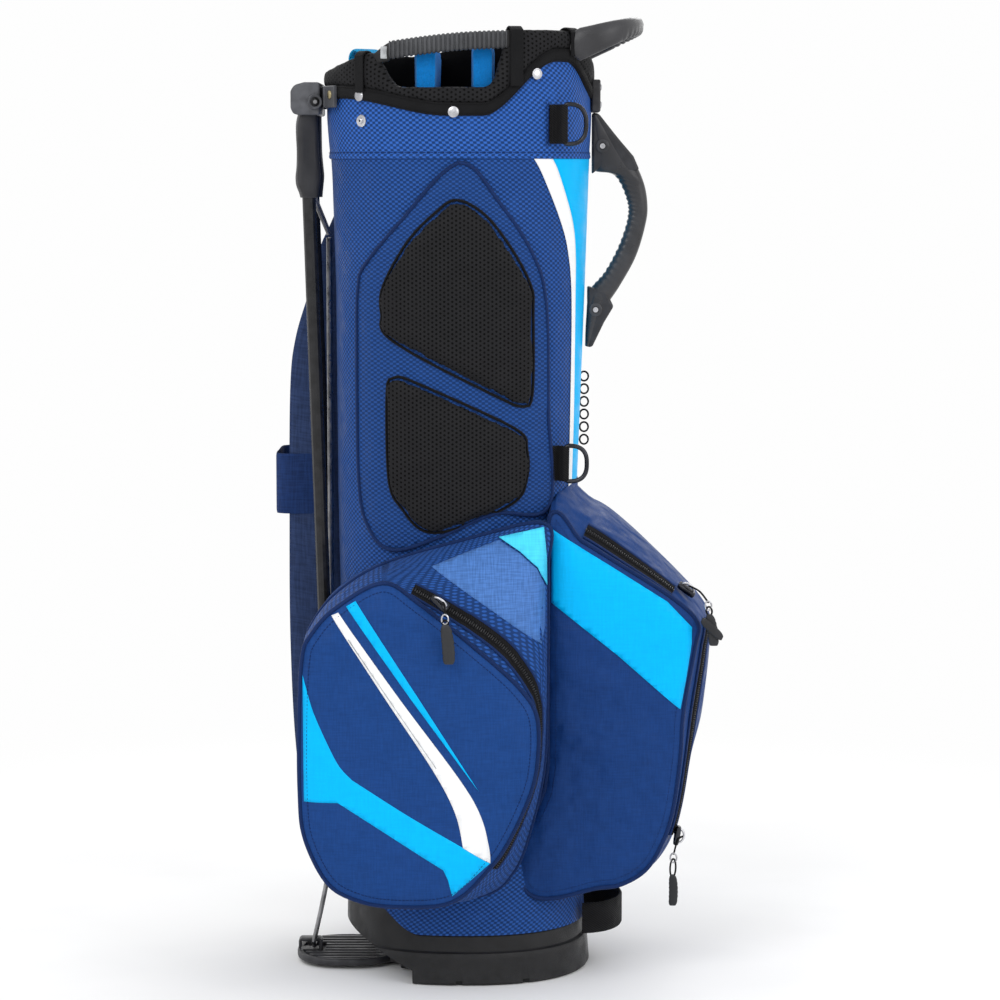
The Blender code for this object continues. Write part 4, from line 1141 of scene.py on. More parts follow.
def hip_pocket():
    """The big hip pocket: a crowned front panel and a deep gusset, with their piping and stitches."""
    front, back = standing(HIP_FRONT, POCKET_STEPS), standing(HIP_BACK, POCKET_STEPS)
    rings = []
    for i in range(17):
        share = i / 16
        ring = []
        for a, b in zip(front, back):
            point = a.lerp(b, min(1.0, share))
            point.y = HIP_FRONT_Y + (HIP_BACK_Y - HIP_FRONT_Y) * share
            folds = noise.noise(Vector((point.x * 22, 40 * share, point.z * 22)))
            slack = 0.0022 * math.sin(math.pi * share)
            slack += 0.0014 * math.sin(math.pi * share) * folds
            point += (point - hip_middle(point.y)).normalized() * slack
            ring.append(point)
        rings.append(ring)
    for y in (-0.095, -0.080, -0.066, HIP_END_Y):
        rings.append([outside_tube(p) if p.x > TUBE_BEHIND else p for p in at_y(back, y)])
    gusset = piece("hip_pocket_gusset", skin(rings, caps=False), GUSSET_CLOTH, slot="pocket_cloth")
    thick(gusset, 0.0010)
    mesh = panel_mesh(front, HIP_FRONT_Y, HIP_FRONT_Y - 0.0118, -1)
    face = piece("hip_pocket_front", mesh, POCKET_CLOTH, slot="pocket_cloth", replaces=["hip_pocket"])
    map_by(face, from_the_side)
    piped("hip_pocket_piping", front, HIP_FRONT_Y)
    edge = at_y(shrunk_in(back, -0.0004), HIP_BACK_Y)
    line = evenly([outside_tube(p, 0.001) if p.x > TUBE_BEHIND else p for p in edge], SEWING_STEP, True)
    mesh = tube_mesh(line, PIPING * 0.85, 10, closed=True)
    piece("hip_pocket_back_piping", mesh, DARK_PIPING, slot="pocket_cloth")
    sewn_round("hip_pocket_stitches", face, front, HIP_WAY, -1)
    return gusset, face, front, back


def between(near, far, share):
    """The line part of the way from one line to another."""
    return [a.lerp(b, share) for a, b in zip(near, far)]


def hip_pocket_zip(gusset, front, back):
    """The curved zip along the top and spine side of the front panel."""
    near, far = at_y(front, HIP_FRONT_Y), at_y(back, HIP_BACK_Y)
    line = between(near, far, 0.135)
    places = line[11 * POCKET_STEPS:18 * POCKET_STEPS + 3]
    tree = tree_of(gusset)
    line, outs = on_cloth(tree, places, hip_middle, 0.0009)
    zip_on("hip_zip", line, outs, 0.0150)
    seam = along_corners(between(near, far, 0.42), 12, 19)
    row = [tree.find_nearest(place)[0] for place in evenly(seam, SEWING_STEP)]
    piece("hip_pocket_cap_seam", tube_mesh(row, 0.0008, 6), DARK_PIPING, slot="pocket_cloth")


def on_cloth(tree, places, middle_of, lift):
    """The nearest points of the cloth, lifted off it, and the ways out of it there."""
    line, outs = [], []
    for place in evenly(places, SEWING_STEP):
        point, normal, _, _ = tree.find_nearest(place)
        if normal.dot(place - middle_of(place.y)) < 0:
            normal = -normal
        line.append(point + normal * lift)
        outs.append(normal)
    return line, outs


def zip_on(name, line, outs, width):
    """Zip tape, coil and welts along a line whose points already lie on the cloth."""
    sides = []
    for i, normal in enumerate(outs):
        forward = (line[min(i + 1, len(line) - 1)] - line[max(i - 1, 0)]).normalized()
        sides.append(forward.cross(normal).normalized())
    meshes = [strip_mesh(line, width, 0.0012, sides)]
    for word, share in (("inner", -0.5), ("outer", 0.5)):
        edge = [p + s * width * share for p, s in zip(line, sides)]
        piece(name + "_welt_" + word, tube_mesh(edge, 0.0014, 8), DARK_PIPING, slot="pocket_cloth")
    for share in (-0.17, 0.17):
        fold = [p + s * width * share + n * 0.0005 for p, s, n in zip(line, sides, outs)]
        meshes.append(tube_mesh(fold, 0.0009, 6))
    piece(name + "_tape", joined(meshes), ZIP_TAPE, slot="dark_cloth")
    teeth = []
    for i, point in enumerate(evenly(line, 0.0021)):
        nearest = min(range(len(line)), key=lambda k: (line[k] - point).length_squared)
        side, normal = sides[nearest], outs[nearest]
        low = point + normal * 0.0007 + side * (0.0004 if i % 2 else -0.0004)
        bent = [low + side * share + normal * 0.0006 for share in (-0.0008, 0.0008)]
        ends = [low - side * 0.0016, *bent, low + side * 0.0016]
        teeth.append(tube_mesh(ends, 0.00062, 5, across=side.cross(normal)))
    piece(name + "_teeth", joined(teeth), TEETH, slot="black_plastic")


OUTSIDE = 0.3  # how far from the middle a print stands before it is laid onto the cloth


def flat_shape(points, y=-OUTSIDE):
    """Points (x, z) stood up at this y."""
    return [Vector((x, y, z)) for x, z in points]


def smooth_edge(points, steps=6):
    """A smooth line in front of the bag through corners given as (x, z)."""
    return curved(flat_shape(points), steps)


def hip_pocket_prints(gusset, face):
    """Printed stripes on the front panel, and the bright corner above the zip, whose lighter cyan is print
    with a painted sheen.
    """
    left = smooth_edge([(-0.1141, 0.3558), (-0.0700, 0.2880), (-0.0249, 0.2191), (-0.0045, 0.1792),
                        (0.0026, 0.1474)])
    right = smooth_edge([(0.0268, 0.1319), (0.0259, 0.1465), (0.0187, 0.1756), (0.0000, 0.2091),
                         (-0.0540, 0.2830), (-0.1079, 0.3585)])
    spike = flat_shape([(-0.1010, 0.3640), (-0.0925, 0.3690), (-0.0380, 0.2850), (0.0170, 0.1982),
                        (-0.0420, 0.2800)])
    band = smooth_edge([(-0.1400, 0.3020), (-0.1372, 0.2920), (-0.1306, 0.2700), (-0.1183, 0.2420),
                        (-0.1075, 0.2215), (-0.0962, 0.2091)])
    band += smooth_edge([(-0.0962, 0.2091), (-0.0500, 0.1790), (0.0026, 0.1474), (0.0268, 0.1319)], 4)[1:]
    band += flat_shape([(-0.0073, 0.1020), (-0.0108, 0.1174), (-0.0150, 0.1270), (-0.1088, 0.1883),
                        (-0.1395, 0.1883)])
    hair = flat_shape([(-0.0995, 0.3352), (-0.0213, 0.2196), (-0.0210, 0.2200), (-0.0988, 0.3355)])
    corner = flat_shape([(0.0348, 0.4180), (0.0755, 0.4270), (0.0770, 0.4000), (0.0775, 0.3748),
                         (0.0690, 0.3925), (0.0540, 0.4060)])
    cap = flat_shape([(-0.0260, 0.3945), (0.0348, 0.4160), (0.0540, 0.4045), (0.0690, 0.3910),
                      (0.0765, 0.3740), (0.0765, 0.3400), (0.0730, 0.3250), (0.0300, 0.3560)])
    front, around = tree_of(face), tree_of(gusset)
    for name, outline, tree, material, lift in (
            ("hip_print_stripe", left + right, front, WHITE_CLOTH, 0.0006),
            ("hip_print_spike", spike, front, CYAN_CLOTH, 0.0006),
            ("hip_print_band", band, front, CYAN_CLOTH, 0.0004),
            ("hip_print_hairline", hair, front, GREY_FOAM, 0.0011),
            ("hip_pocket_corner", corner, around, CYAN_PRINT_PAINTED_SHEEN, 0.0014),
            ("hip_pocket_cap", cap, around, CAP_CLOTH, 0.0005)):
        applique(name, outline, tree, HIP_WAY, material, lift=lift, slot="pocket_cloth")


def ball_outline(y):
    """The ball pocket's outline at this y: it bulges between its two flat sides."""
    weight = max(0.0, 1 - (abs(y) / 0.092) ** 2.3)
    side, middle = standing(BALL_SIDE, POCKET_STEPS, y), standing(BALL_MIDDLE, POCKET_STEPS, y)
    return [a.lerp(b, weight) for a, b in zip(side, middle)]


BALL_EDGE_X = 0.0805
BALL_SIDE_Y = 0.094


def ball_middle(y):
    """The ball pocket's middle at this y: its wrap faces away from it."""
    return Vector((0.14, y, 0.25))


def near_edge(z):
    """Where the near panel of the ball pocket meets the hip pocket, along X."""
    return 0.0450 + 0.0355 * ease(z, 0.095, 0.200)


def beside_tube(point):
    """A point of the ball pocket moved out of the tube, along X."""
    leg, spine, half_width = section_at(point.z)
    across = min(1.0, abs(point.y) / half_width)
    middle = (leg + spine) / 2
    wall = middle + ((spine - leg) / 2 + 0.0008) * (1 - across**SECTION_POWER) ** (1 / SECTION_POWER)
    edge = near_edge(point.z) if point.y < -0.09 else BALL_EDGE_X
    return Vector((max(point.x, wall, edge), point.y, point.z))


def ball_pocket():
    """The round-backed ball pocket on the spine side, with flat side panels."""
    count = 30
    rings = []
    for i in range(count + 1):
        y = -BALL_SIDE_Y + 2 * BALL_SIDE_Y * i / count
        ring = []
        for point in ball_outline(y):
            folds = noise.noise(Vector((point.x * 18, y * 18, point.z * 18)))
            slack = 0.0012 * folds * math.cos(y / BALL_SIDE_Y * math.pi / 2)
            out = (point - ball_middle(y)).normalized()
            ring.append(beside_tube(point + out * slack))
        rings.append(ring)
    wrap = piece("ball_pocket_wrap", skin(rings, caps=False), POCKET_DEEP, slot="pocket_cloth",
                 replaces=["ball_pocket"])
    thick(wrap, 0.0010)
    for way, word in SIDES_OF_BAG:
        outline = []
        for p in ball_outline(way * BALL_SIDE_Y):
            edge, lift = BALL_EDGE_X, 0.0
            if way < 0:
                edge = near_edge(p.z)
                lift = 0.004 * (1 - ease(p.x, 0.045, 0.140)) * (1 - ease(p.z, 0.09, 0.16))
            outline.append(Vector((max(p.x, edge), p.y, p.z + lift)))
        mesh = panel_mesh(outline, way * BALL_SIDE_Y, way * 0.1015, way)
        face = piece("ball_pocket_side_" + word, mesh, POCKET_DEEP, slot="pocket_cloth")
        map_by(face, from_the_side)
        ahead = Vector((0, -way, 0))
        piped("ball_pocket_piping_" + word, outline, way * 0.0942)
        sewn_round("ball_pocket_stitches_" + word, face, outline, ahead)
        bright = flat_shape(BALL_BRIGHT, way * OUTSIDE)
        applique("ball_pocket_bright_" + word, bright, tree_of(face), ahead, CYAN_CLOTH, lift=0.0009,
                 slot="pocket_cloth")
    return wrap


def ball_pocket_zips(wrap):
    """The short zip over the top and the long one down the back edge."""
    tree = tree_of(wrap)
    line, outs = on_cloth(tree, along_corners(ball_outline(-0.080), 10, 12), ball_middle, 0.0008)
    zip_on("ball_top_zip", line, outs, 0.0200)
    line, outs = on_cloth(tree, along_corners(ball_outline(-0.070), 4, 9), ball_middle, 0.0008)
    zip_on("ball_side_zip", line[1:], outs[1:], 0.0160)


APPAREL_START_Y, APPAREL_END_Y = 0.057, 0.140


def near_side(outline):
    """The clothes pocket's narrow side towards the legs, slack between the pocket's edge and the tube."""
    rings = []
    for edge in evenly([p for p in outline if p.x < -0.1225], 0.006):
        leg, spine, half_width = section_at(edge.z)
        across = (APPAREL_START_Y / half_width) ** SECTION_POWER
        wall = (leg + spine) / 2 - ((spine - leg) / 2 + 0.0006) * (1 - across) ** (1 / SECTION_POWER)
        ring = []
        for i in range(11):
            share = i / 10
            x = edge.x + (wall + 0.004 - edge.x) * share
            gather = noise.noise(Vector((x * 40, 0.5, edge.z * 9)))
            fold = math.sin(math.pi * share) * (0.0022 + 0.0016 * gather)
            ring.append((x, 0.0572 - fold, edge.z))
        rings.append(ring)
    made = piece("apparel_pocket_near_side", skin(rings, closed=False), DARK_CLOTH, slot="dark_cloth")
    thick(made, 0.0010, 0.0)


def apparel_pocket():
    """The long clothes pocket: a full shell on the far side, with a crowned front and a zip."""
    outline = standing(APPAREL_OUTLINE, POCKET_STEPS, 0.0)
    rings = []
    for y in (APPAREL_START_Y, 0.062, 0.070, 0.080, 0.090, 0.100, 0.110, 0.120, 0.130, APPAREL_END_Y):
        ring = []
        for point in at_y(outline, y):
            full = math.sin(math.pi * (y - APPAREL_START_Y) / 0.083)
            slack = 0.0014 * full * noise.noise(Vector((point.x * 14, y * 20, point.z * 12)))
            out = (point - Vector((-0.045, y, 0.40))).normalized()
            point = point + out * slack
            wall = side_y(point.x, point.z, 0.0008)
            ring.append(Vector((point.x, max(point.y, wall), point.z)))
        rings.append(ring)
    shell = piece("apparel_pocket_gusset", skin(rings, caps=False), DARK_CLOTH, slot="dark_cloth",
                  replaces=["apparel_pocket"])
    thick(shell, 0.0010)
    near_side(outline)
    mesh = panel_mesh(outline, APPAREL_END_Y, 0.1600, 1)
    face = piece("apparel_pocket_front", mesh, DARK_CLOTH, slot="dark_cloth")
    map_by(face, from_the_side)
    piped("apparel_pocket_piping", outline, APPAREL_END_Y, "dark_cloth")
    sewn_round("apparel_stitches", face, outline, -HIP_WAY, slot="dark_cloth")
    corners = ((0.030, 0.690), (0.048, 0.600), (0.050, 0.400), (0.048, 0.220), (0.030, 0.130))
    tree = tree_of(face)
    line, outs = [], []
    for place in evenly(curved(flat_shape(corners, OUTSIDE)), SEWING_STEP):
        point, normal = hit(tree, place, -HIP_WAY)
        line.append(point + normal * 0.0008)
        outs.append(normal)
    zip_on("apparel_zip", line, outs, 0.0160)


TOWEL_PATH = (
    (-0.1280, 0.0552, 0), (-0.1500, 0.0548, 0), (-0.1680, 0.0556, 0), (-0.1765, 0.0600, 0),
    (-0.1795, 0.0680, 0), (-0.1795, 0.1000, 0), (-0.1790, 0.1400, 0),
    (-0.1740, 0.1500, 0), (-0.1560, 0.1625, 0), (-0.1300, 0.1640, 0),
)


def webbing_loop(node, corners, depth, material, slot):
    """Webbing on edge along a path in plan, as tall as the node that it stands for."""
    low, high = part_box(node)
    path = [Vector((p.x, p.y, (low.z + high.z) / 2)) for p in evenly(curved(corners, 8), 0.0025)]
    mesh = strip_mesh(path, high.z - low.z, depth, (0, 0, 1))
    piece(node + "_band", mesh, material, slot=slot, replaces=[node])


def loops():
    """The towel loop round the clothes pocket and the grab loop at the foot of the spine side."""
    webbing_loop("towel_loop", TOWEL_PATH, 0.0016, TOWEL_CLOTH, "pocket_cloth")
    half = []
    for i in range(17):
        turn = -math.pi / 2 + math.pi * i / 16
        half.append((0.1130 + 0.0380 * math.cos(turn), 0.050 * math.sin(turn), 0))
    webbing_loop("grab_loop", half, 0.0026, WEBBING, "webbing")


# --- handles ------------------------------------------------------------------------------------


# Place along X, size and height of the middle, for each end of the hand grip.
GRIP_ENDS = (
    ("leg", ((-0.0870, 0.35, 0.8440), (-0.0790, 0.55, 0.8480), (-0.0720, 0.75, 0.8520),
             (-0.0660, 0.92, 0.8545), (-0.0620, 1.0, 0.8560))),
    ("spine", ((0.0400, 1.0, 0.8655), (0.0440, 0.98, 0.8660), (0.0500, 0.80, 0.8660))),
)


def grip_y(x):
    """Where the hand grip runs along Y, over the wall on the hip side."""
    return -side_y(x, 0.850, -0.002)


def rim_grip():
    """The ribbed hand grip over the slot, held by a moulded end on each side."""
    section = superellipse(20, 3.2)
    ribs, start, span = 26, -0.0640, 0.1060
    rings = []
    for i in range(ribs * 8 + 1):
        share = i / (ribs * 8)
        x = start + span * share
        along = (x + 0.074) / 0.118
        middle = 0.8552 + 0.0108 * math.sin(along * math.pi / 2)
        y = grip_y(x)
        groove = 0.80 + 0.20 * ease(math.cos(2 * math.pi * ribs * share), -0.55, 0.15)
        tall = 0.5 + 0.5 * groove
        rings.append([(x, y + 0.0064 * a * groove, middle + 0.0084 * b * tall) for a, b in section])
    piece("rim_grip_ribs", skin(rings), GRIP_RUBBER, slot="grey_plastic", replaces=["rim_grip"])
    for word, stations in GRIP_ENDS:
        rings = []
        for x, size, middle in stations:
            y = grip_y(x)
            rings.append([(x, y + 0.0070 * a * size, middle + 0.0090 * b * size) for a, b in section])
        softened(piece("rim_grip_end_" + word, skin(rings), RUBBER, slot="black_rubber"), 2)
    y = grip_y(-0.068) - 0.0062
    insert = block_mesh((-0.0715, y - 0.0010, 0.8490), (-0.0650, y + 0.003, 0.8600))
    bevelled(piece("rim_grip_insert", insert, GREY_FOAM, slot="grey_plastic"), 0.0010)


def lift_handle():
    """The moulded lift handle: smooth on top, ribbed for the fingers underneath."""
    section = superellipse(28, 2.4)
    rings = []
    count = 168
    for i in range(-4, count + 5):
        buried = max(0, -i, i - count)
        taper = 1 - 0.09 * buried
        turn = -math.pi / 2 + math.pi * min(max(i, 0), count) / count
        reach = max(0.0, math.cos(turn)) ** 0.6
        centre = Vector((0.1080 + 0.0553 * reach - 0.0022 * buried, 0.0725 * math.sin(turn),
                         0.8630 + 0.0190 * reach))
        ahead = Vector((-0.0553 * math.sin(turn), 0.0725 * math.cos(turn), 0)).normalized()
        out = Vector((ahead.y, -ahead.x, 0))
        tall = (0.0150 - 0.0065 * reach) * taper
        zone = ease(1.15 - abs(turn), 0.0, 0.3)
        rib = zone * (0.5 - 0.5 * math.cos(2 * math.pi * i / 8)) * 0.20
        ring = []
        for a, b in section:
            under = ease(-b, -0.1, 0.5)
            size = 1 - rib * under
            ridge = 0.0005 * math.exp(-((b - 0.25) / 0.12) ** 2) * (1 if a > 0 else 0)
            wide = 0.0055 * taper * (1 - 0.5 * rib * under)
            ring.append(centre + (wide * a + ridge) * out + Vector((0, 0, tall * b * size)))
        rings.append(ring)
    piece("lift_handle_grip", skin(rings), HANDLE_PLASTIC, slot="black_rubber", replaces=["lift_handle"])
    mount = block_mesh((0.1202, -0.0245, 0.8032), (0.1286, 0.0245, 0.8330))
    made = piece("lift_handle_bracket", mount, PLASTIC, slot="black_plastic", replaces=["lift_handle_mount"])
    bevelled(made, 0.0016)
    for side, word in SIDES_OF_BAG:
        for level, z in (("low", 0.8100), ("high", 0.8260)):
            place = Vector((0.1286, side * 0.0170, z))
            dome("bracket_rivet_%s_%s" % (word, level), place, (1, 0, 0), 0.0034, 0.0014, NICKEL)


# Points (x, z) on the outer and the inner side of the carry handle, from top to bottom.
CARRY_STATIONS = (
    ((0.1262, 0.8010), (0.1216, 0.7995)), ((0.1450, 0.7780), (0.1216, 0.7700)),
    ((0.1605, 0.7585), (0.1230, 0.7500)), ((0.1700, 0.7380), (0.1420, 0.7450)),
    ((0.1735, 0.7180), (0.1535, 0.7230)), ((0.1720, 0.7000), (0.1545, 0.7050)),
    ((0.1630, 0.6697), (0.1465, 0.6800)), ((0.1480, 0.6420), (0.1340, 0.6560)),
    ((0.1335, 0.6200), (0.1195, 0.6370)), ((0.1260, 0.6020), (0.1165, 0.6120)),
    ((0.1195, 0.5850), (0.1155, 0.5860)),
)


PLATE_HALF = 0.0112
# Each end plate of the carry handle: its outline and its screw, as (x, z).
CARRY_PLATES = (
    ("upper", ((0.1214, 0.8030), (0.1275, 0.8020), (0.1450, 0.7800), (0.1600, 0.7625), (0.1655, 0.7500),
               (0.1500, 0.7470), (0.1330, 0.7560), (0.1214, 0.7460)), (0.1310, 0.7720)),
    ("lower", ((0.1175, 0.5850), (0.1220, 0.5850), (0.1330, 0.6080), (0.1420, 0.6230), (0.1350, 0.6370),
               (0.1175, 0.6420)), (0.1250, 0.6200)),
)


def carry_handle():
    """The D-shaped side handle: a rounded grip, ribbed inside, with a plate and screw at each end."""
    outer = curved([(x, 0, z) for (x, z), _ in CARRY_STATIONS], 18)
    inner = curved([(x, 0, z) for _, (x, z) in CARRY_STATIONS], 18)
    section = superellipse(24, 2.8)
    rings = []
    for i, (out, inn) in enumerate(zip(outer, inner)):
        share = i / (len(outer) - 1)
        grip = ease(share, 0.27, 0.33) * (1 - ease(share, 0.72, 0.80))
        rib = grip * (0.5 - 0.5 * math.cos(2 * math.pi * i / 4)) * 0.10
        middle, half = (out + inn) / 2, (out - inn) / 2
        wide = 0.0100 + 0.0018 * (1 - grip)
        ring = []
        for a, b in section:
            inside = ease(-b, -0.2, 0.4)
            aside = Vector((0, wide * a * (1 - 0.5 * rib * inside), 0))
            ring.append(middle + half * b * (1 - rib * inside) + aside)
        rings.append(ring)
    piece("carry_handle_grip", skin(rings), HANDLE_PLASTIC, slot="black_plastic", replaces=["carry_handle"])
    for word, outline, _ in CARRY_PLATES:
        rings = [flat_shape(outline, y) for y in (-PLATE_HALF, PLATE_HALF)]
        bevelled(piece("carry_plate_" + word, skin(rings), PLASTIC, slot="black_plastic"), 0.0022)
    boss = [(0.0062, 0.0), (0.0062, 0.0009), (0.0054, 0.0013), (0.0034, 0.0013), (0.0034, 0.0004)]
    for word, _, (x, z) in CARRY_PLATES:
        for side, side_word in SIDES_OF_BAG:
            centre = Vector((x, side * PLATE_HALF, z))
            name = "carry_boss_%s_%s" % (word, side_word)
            turned_on(name, centre, (0, side, 0), boss, HANDLE_PLASTIC, slot="black_plastic")


def turned_on(name, place, way, profile, material, body="bag", slot=None, replaces=(), sides=32):
    """A round piece on a surface: profile is (radius, height along way), from its foot to its middle."""
    way = Vector(way).normalized()
    side = way.orthogonal().normalized()
    across = way.cross(side)
    rings = []
    for radius, height in profile:
        centre = place + way * height
        rings.append([centre + radius * (c * side + s * across) for c, s in round_section(sides)])
    piece(name, skin(rings), material, body, slot, replaces)


def dome(name, place, way, radius, height, material, replaces=()):
    """A domed rivet head with a thin rim."""
    profile = [(radius, -0.0004), (radius, 0.0002), (radius * 0.98, 0.0005), (radius * 0.84, 0.0006)]
    for i in range(1, 7):
        turn = math.pi / 2 * i / 6
        rise = 0.0006 + (height - 0.0006) * math.sin(turn)
        profile.append((max(0.0002, radius * 0.82 * math.cos(turn)), rise))
    turned_on(name, place, way, profile, material, slot="nickel", replaces=replaces)


RIVET_LIFT = {"snap": -0.0190, "corner": -0.0030}  # above the trim's lower edge
PLAIN_RIVET_LIFT = 0.0035


def rivets():
    """Domed rivets through the trim, and the open snap below it."""
    for word, degrees in (("leg", -132.6), ("hip", -91), ("corner", -58.5), ("far", 94), ("snap", -132.6)):
        turn = math.radians(degrees)
        ground = wall_point(turn, MOUTH_LEVEL, 0.003)
        snap = word == "snap"
        height = trim_height(ground.x, ground.y) + RIVET_LIFT.get(word, PLAIN_RIVET_LIFT)
        offset = 0.0014 if snap else 0.0036
        place = wall_point(turn, height, offset)
        _, way = wall_ways(turn, height, offset)
        if snap:
            ring = [(0.0056, -0.0004), (0.0056, 0.0004), (0.0050, 0.0010), (0.0036, 0.0011), (0.0026, 0.0008)]
            ring += [(0.0024, 0.0022), (0.0018, 0.0026), (0.0011, 0.0024), (0.0010, 0.0006)]
            turned_on("snap_stud", place, way, ring, NICKEL, slot="nickel", replaces=["rivet_snap"])
            # A black plug inside the stud's hollow: painted shade of the hole.
            hole = [(0.00095, 0.0005), (0.0009, 0.0012), (0.0002, 0.0012)]
            turned_on("snap_hole_painted_shade", place, way, hole, PLASTIC, slot="black_plastic")
        else:
            dome("rivet_head_" + word, place, way, 0.0050, 0.0014, NICKEL, replaces=["rivet_" + word])


# --- rings and loops ----------------------------------------------------------------------------

RINGS = (
    ("upper", (0.0935, -0.0918), 0.7710, 0.8110),
    ("lower", (0.0955, -0.0730), 0.4630, 0.5000),
)
RING_WIRE = 0.0021
# Where a tab's webbing runs in plan, from the ring's hinge line.
TAB_ROUND_RING = ((-0.0016, -0.0030), (0.0020, -0.0022), (0.0030, 0.0), (0.0018, 0.0024), (-0.0016, 0.0030))


def d_rings(tube):
    """Two D-rings in webbing tabs that are folded round them and sewn down."""
    for word, axis, low, high in RINGS:
        half = (high - low) / 2 - RING_WIRE
        middle = Vector((axis[0], axis[1], (low + high) / 2))
        path = [middle + Vector((0, 0, half * share / 10)) for share in range(-9, 10)]
        for i in range(33):
            turn = math.pi / 2 - math.pi * i / 32
            bulge = abs(math.cos(turn)) ** 0.75
            rise = math.copysign(abs(math.sin(turn)) ** 0.75, math.sin(turn))
            path.append(middle + Vector((0.0030 + 0.0170 * bulge, 0, half * rise)))
        mesh = tube_mesh(path, RING_WIRE, 14, closed=True, across=(0, 1, 0))
        piece("d_ring_%s_wire" % word, mesh, RING_METAL, word + "_ring", "ring_metal", ["d_ring_" + word])
        place, _ = hit(tube, Vector((axis[0] - 0.0130, -OUTSIDE, middle.z)), HIP_WAY)
        near, _ = hit(tube, Vector((axis[0] - 0.0070, -OUTSIDE, middle.z)), HIP_WAY)
        fold = [(place.x, place.y - 0.0022, 0), (near.x, near.y - 0.0034, 0)]
        fold += [(axis[0] + x, axis[1] + y, 0) for x, y in TAB_ROUND_RING]
        fold += [(near.x, near.y - 0.0012, 0), (place.x, place.y - 0.0010, 0)]
        path = [Vector((p.x, p.y, middle.z)) for p in evenly(curved(fold, 6), 0.0012)]
        tab = strip_mesh(path, high - low - 2 * RING_WIRE - 0.0006, 0.0012, (0, 0, 1))
        piece("d_ring_tab_%s_webbing" % word, tab, WEBBING, slot="webbing", replaces=["d_ring_tab_" + word])
        for number, shift in enumerate((-0.0165, -0.0150)):
            places = [(axis[0] + shift, -OUTSIDE, low + (high - low) * i / 12) for i in range(13)]
            row = laid(tube, places, HIP_WAY, 0.0016)
            name = "d_ring_stitches_%s_%d" % (word, number)
            stitches(name, row, lambda p: (0, -1, 0), slot="tube_cloth", gap=0.0026)
        heights = [low + 0.004 + (high - low - 0.008) * i / 8 for i in range(9)]
        row = [(axis[0] - 0.0105, place.y - 0.0030, z) for z in heights]
        stitches("d_ring_tab_stitches_" + word, row, lambda p: (0, -1, 0), BLACK_THREAD, slot="webbing")


def tee_loops():
    """A row of small elastic loops for tees, sewn along a narrow tape."""
    meshes = []
    count = 6
    for i in range(count):
        z = 0.4960 + 0.0600 * i / (count - 1)
        path = [(0.1152 + 0.0040 * c, 0.0180 + 0.0006 * s, z + 0.0044 * s) for c, s in round_section(24)]
        meshes.append(tube_mesh(path, 0.0009, 8, closed=True))
    piece("tee_loop_elastics", joined(meshes), BLACK_THREAD, slot="black_rubber", replaces=["tee_loops"])
    line = [wall_point(0.17, 0.489 + 0.075 * i / 20, 0.0012) for i in range(21)]
    piece("tee_loop_tape", strip_mesh(line, 0.0070, 0.0012, (0.1, 1, 0)), WEBBING, slot="webbing")


# --- stand --------------------------------------------------------------------------------------

LEG_PIVOT = Vector((-0.1400, 0.0300, 0.812))
LEG_SPLAY = math.radians(20)


def leg_frame(side):
    """Frame of a leg's hinge: x towards the bag and y along the hinge pin."""
    place = Matrix.Translation((LEG_PIVOT.x, side * LEG_PIVOT.y, LEG_PIVOT.z))
    return place @ Matrix.Rotation(-side * LEG_SPLAY, 4, "Z")


# Sections down a knuckle: height, its two ends along x and its half depth, in the hinge's frame.
KNUCKLE = (
    (0.0072, -0.0028, 0.0026, 0.0048), (0.0060, -0.0052, 0.0046, 0.0060), (0.0030, -0.0070, 0.0062, 0.0062),
    (0.0000, -0.0076, 0.0070, 0.0062), (-0.0100, -0.0100, 0.0070, 0.0062), (-0.0220, -0.0124, 0.0072, 0.0060),
    (-0.0450, -0.0118, 0.0078, 0.0052), (-0.0600, -0.0122, 0.0090, 0.0056), (-0.0680, -0.0130, 0.0095, 0.0062),
    (-0.0760, -0.0124, 0.0086, 0.0066), (-0.0830, -0.0096, 0.0076, 0.0070), (-0.0876, -0.0082, 0.0072, 0.0070),
)


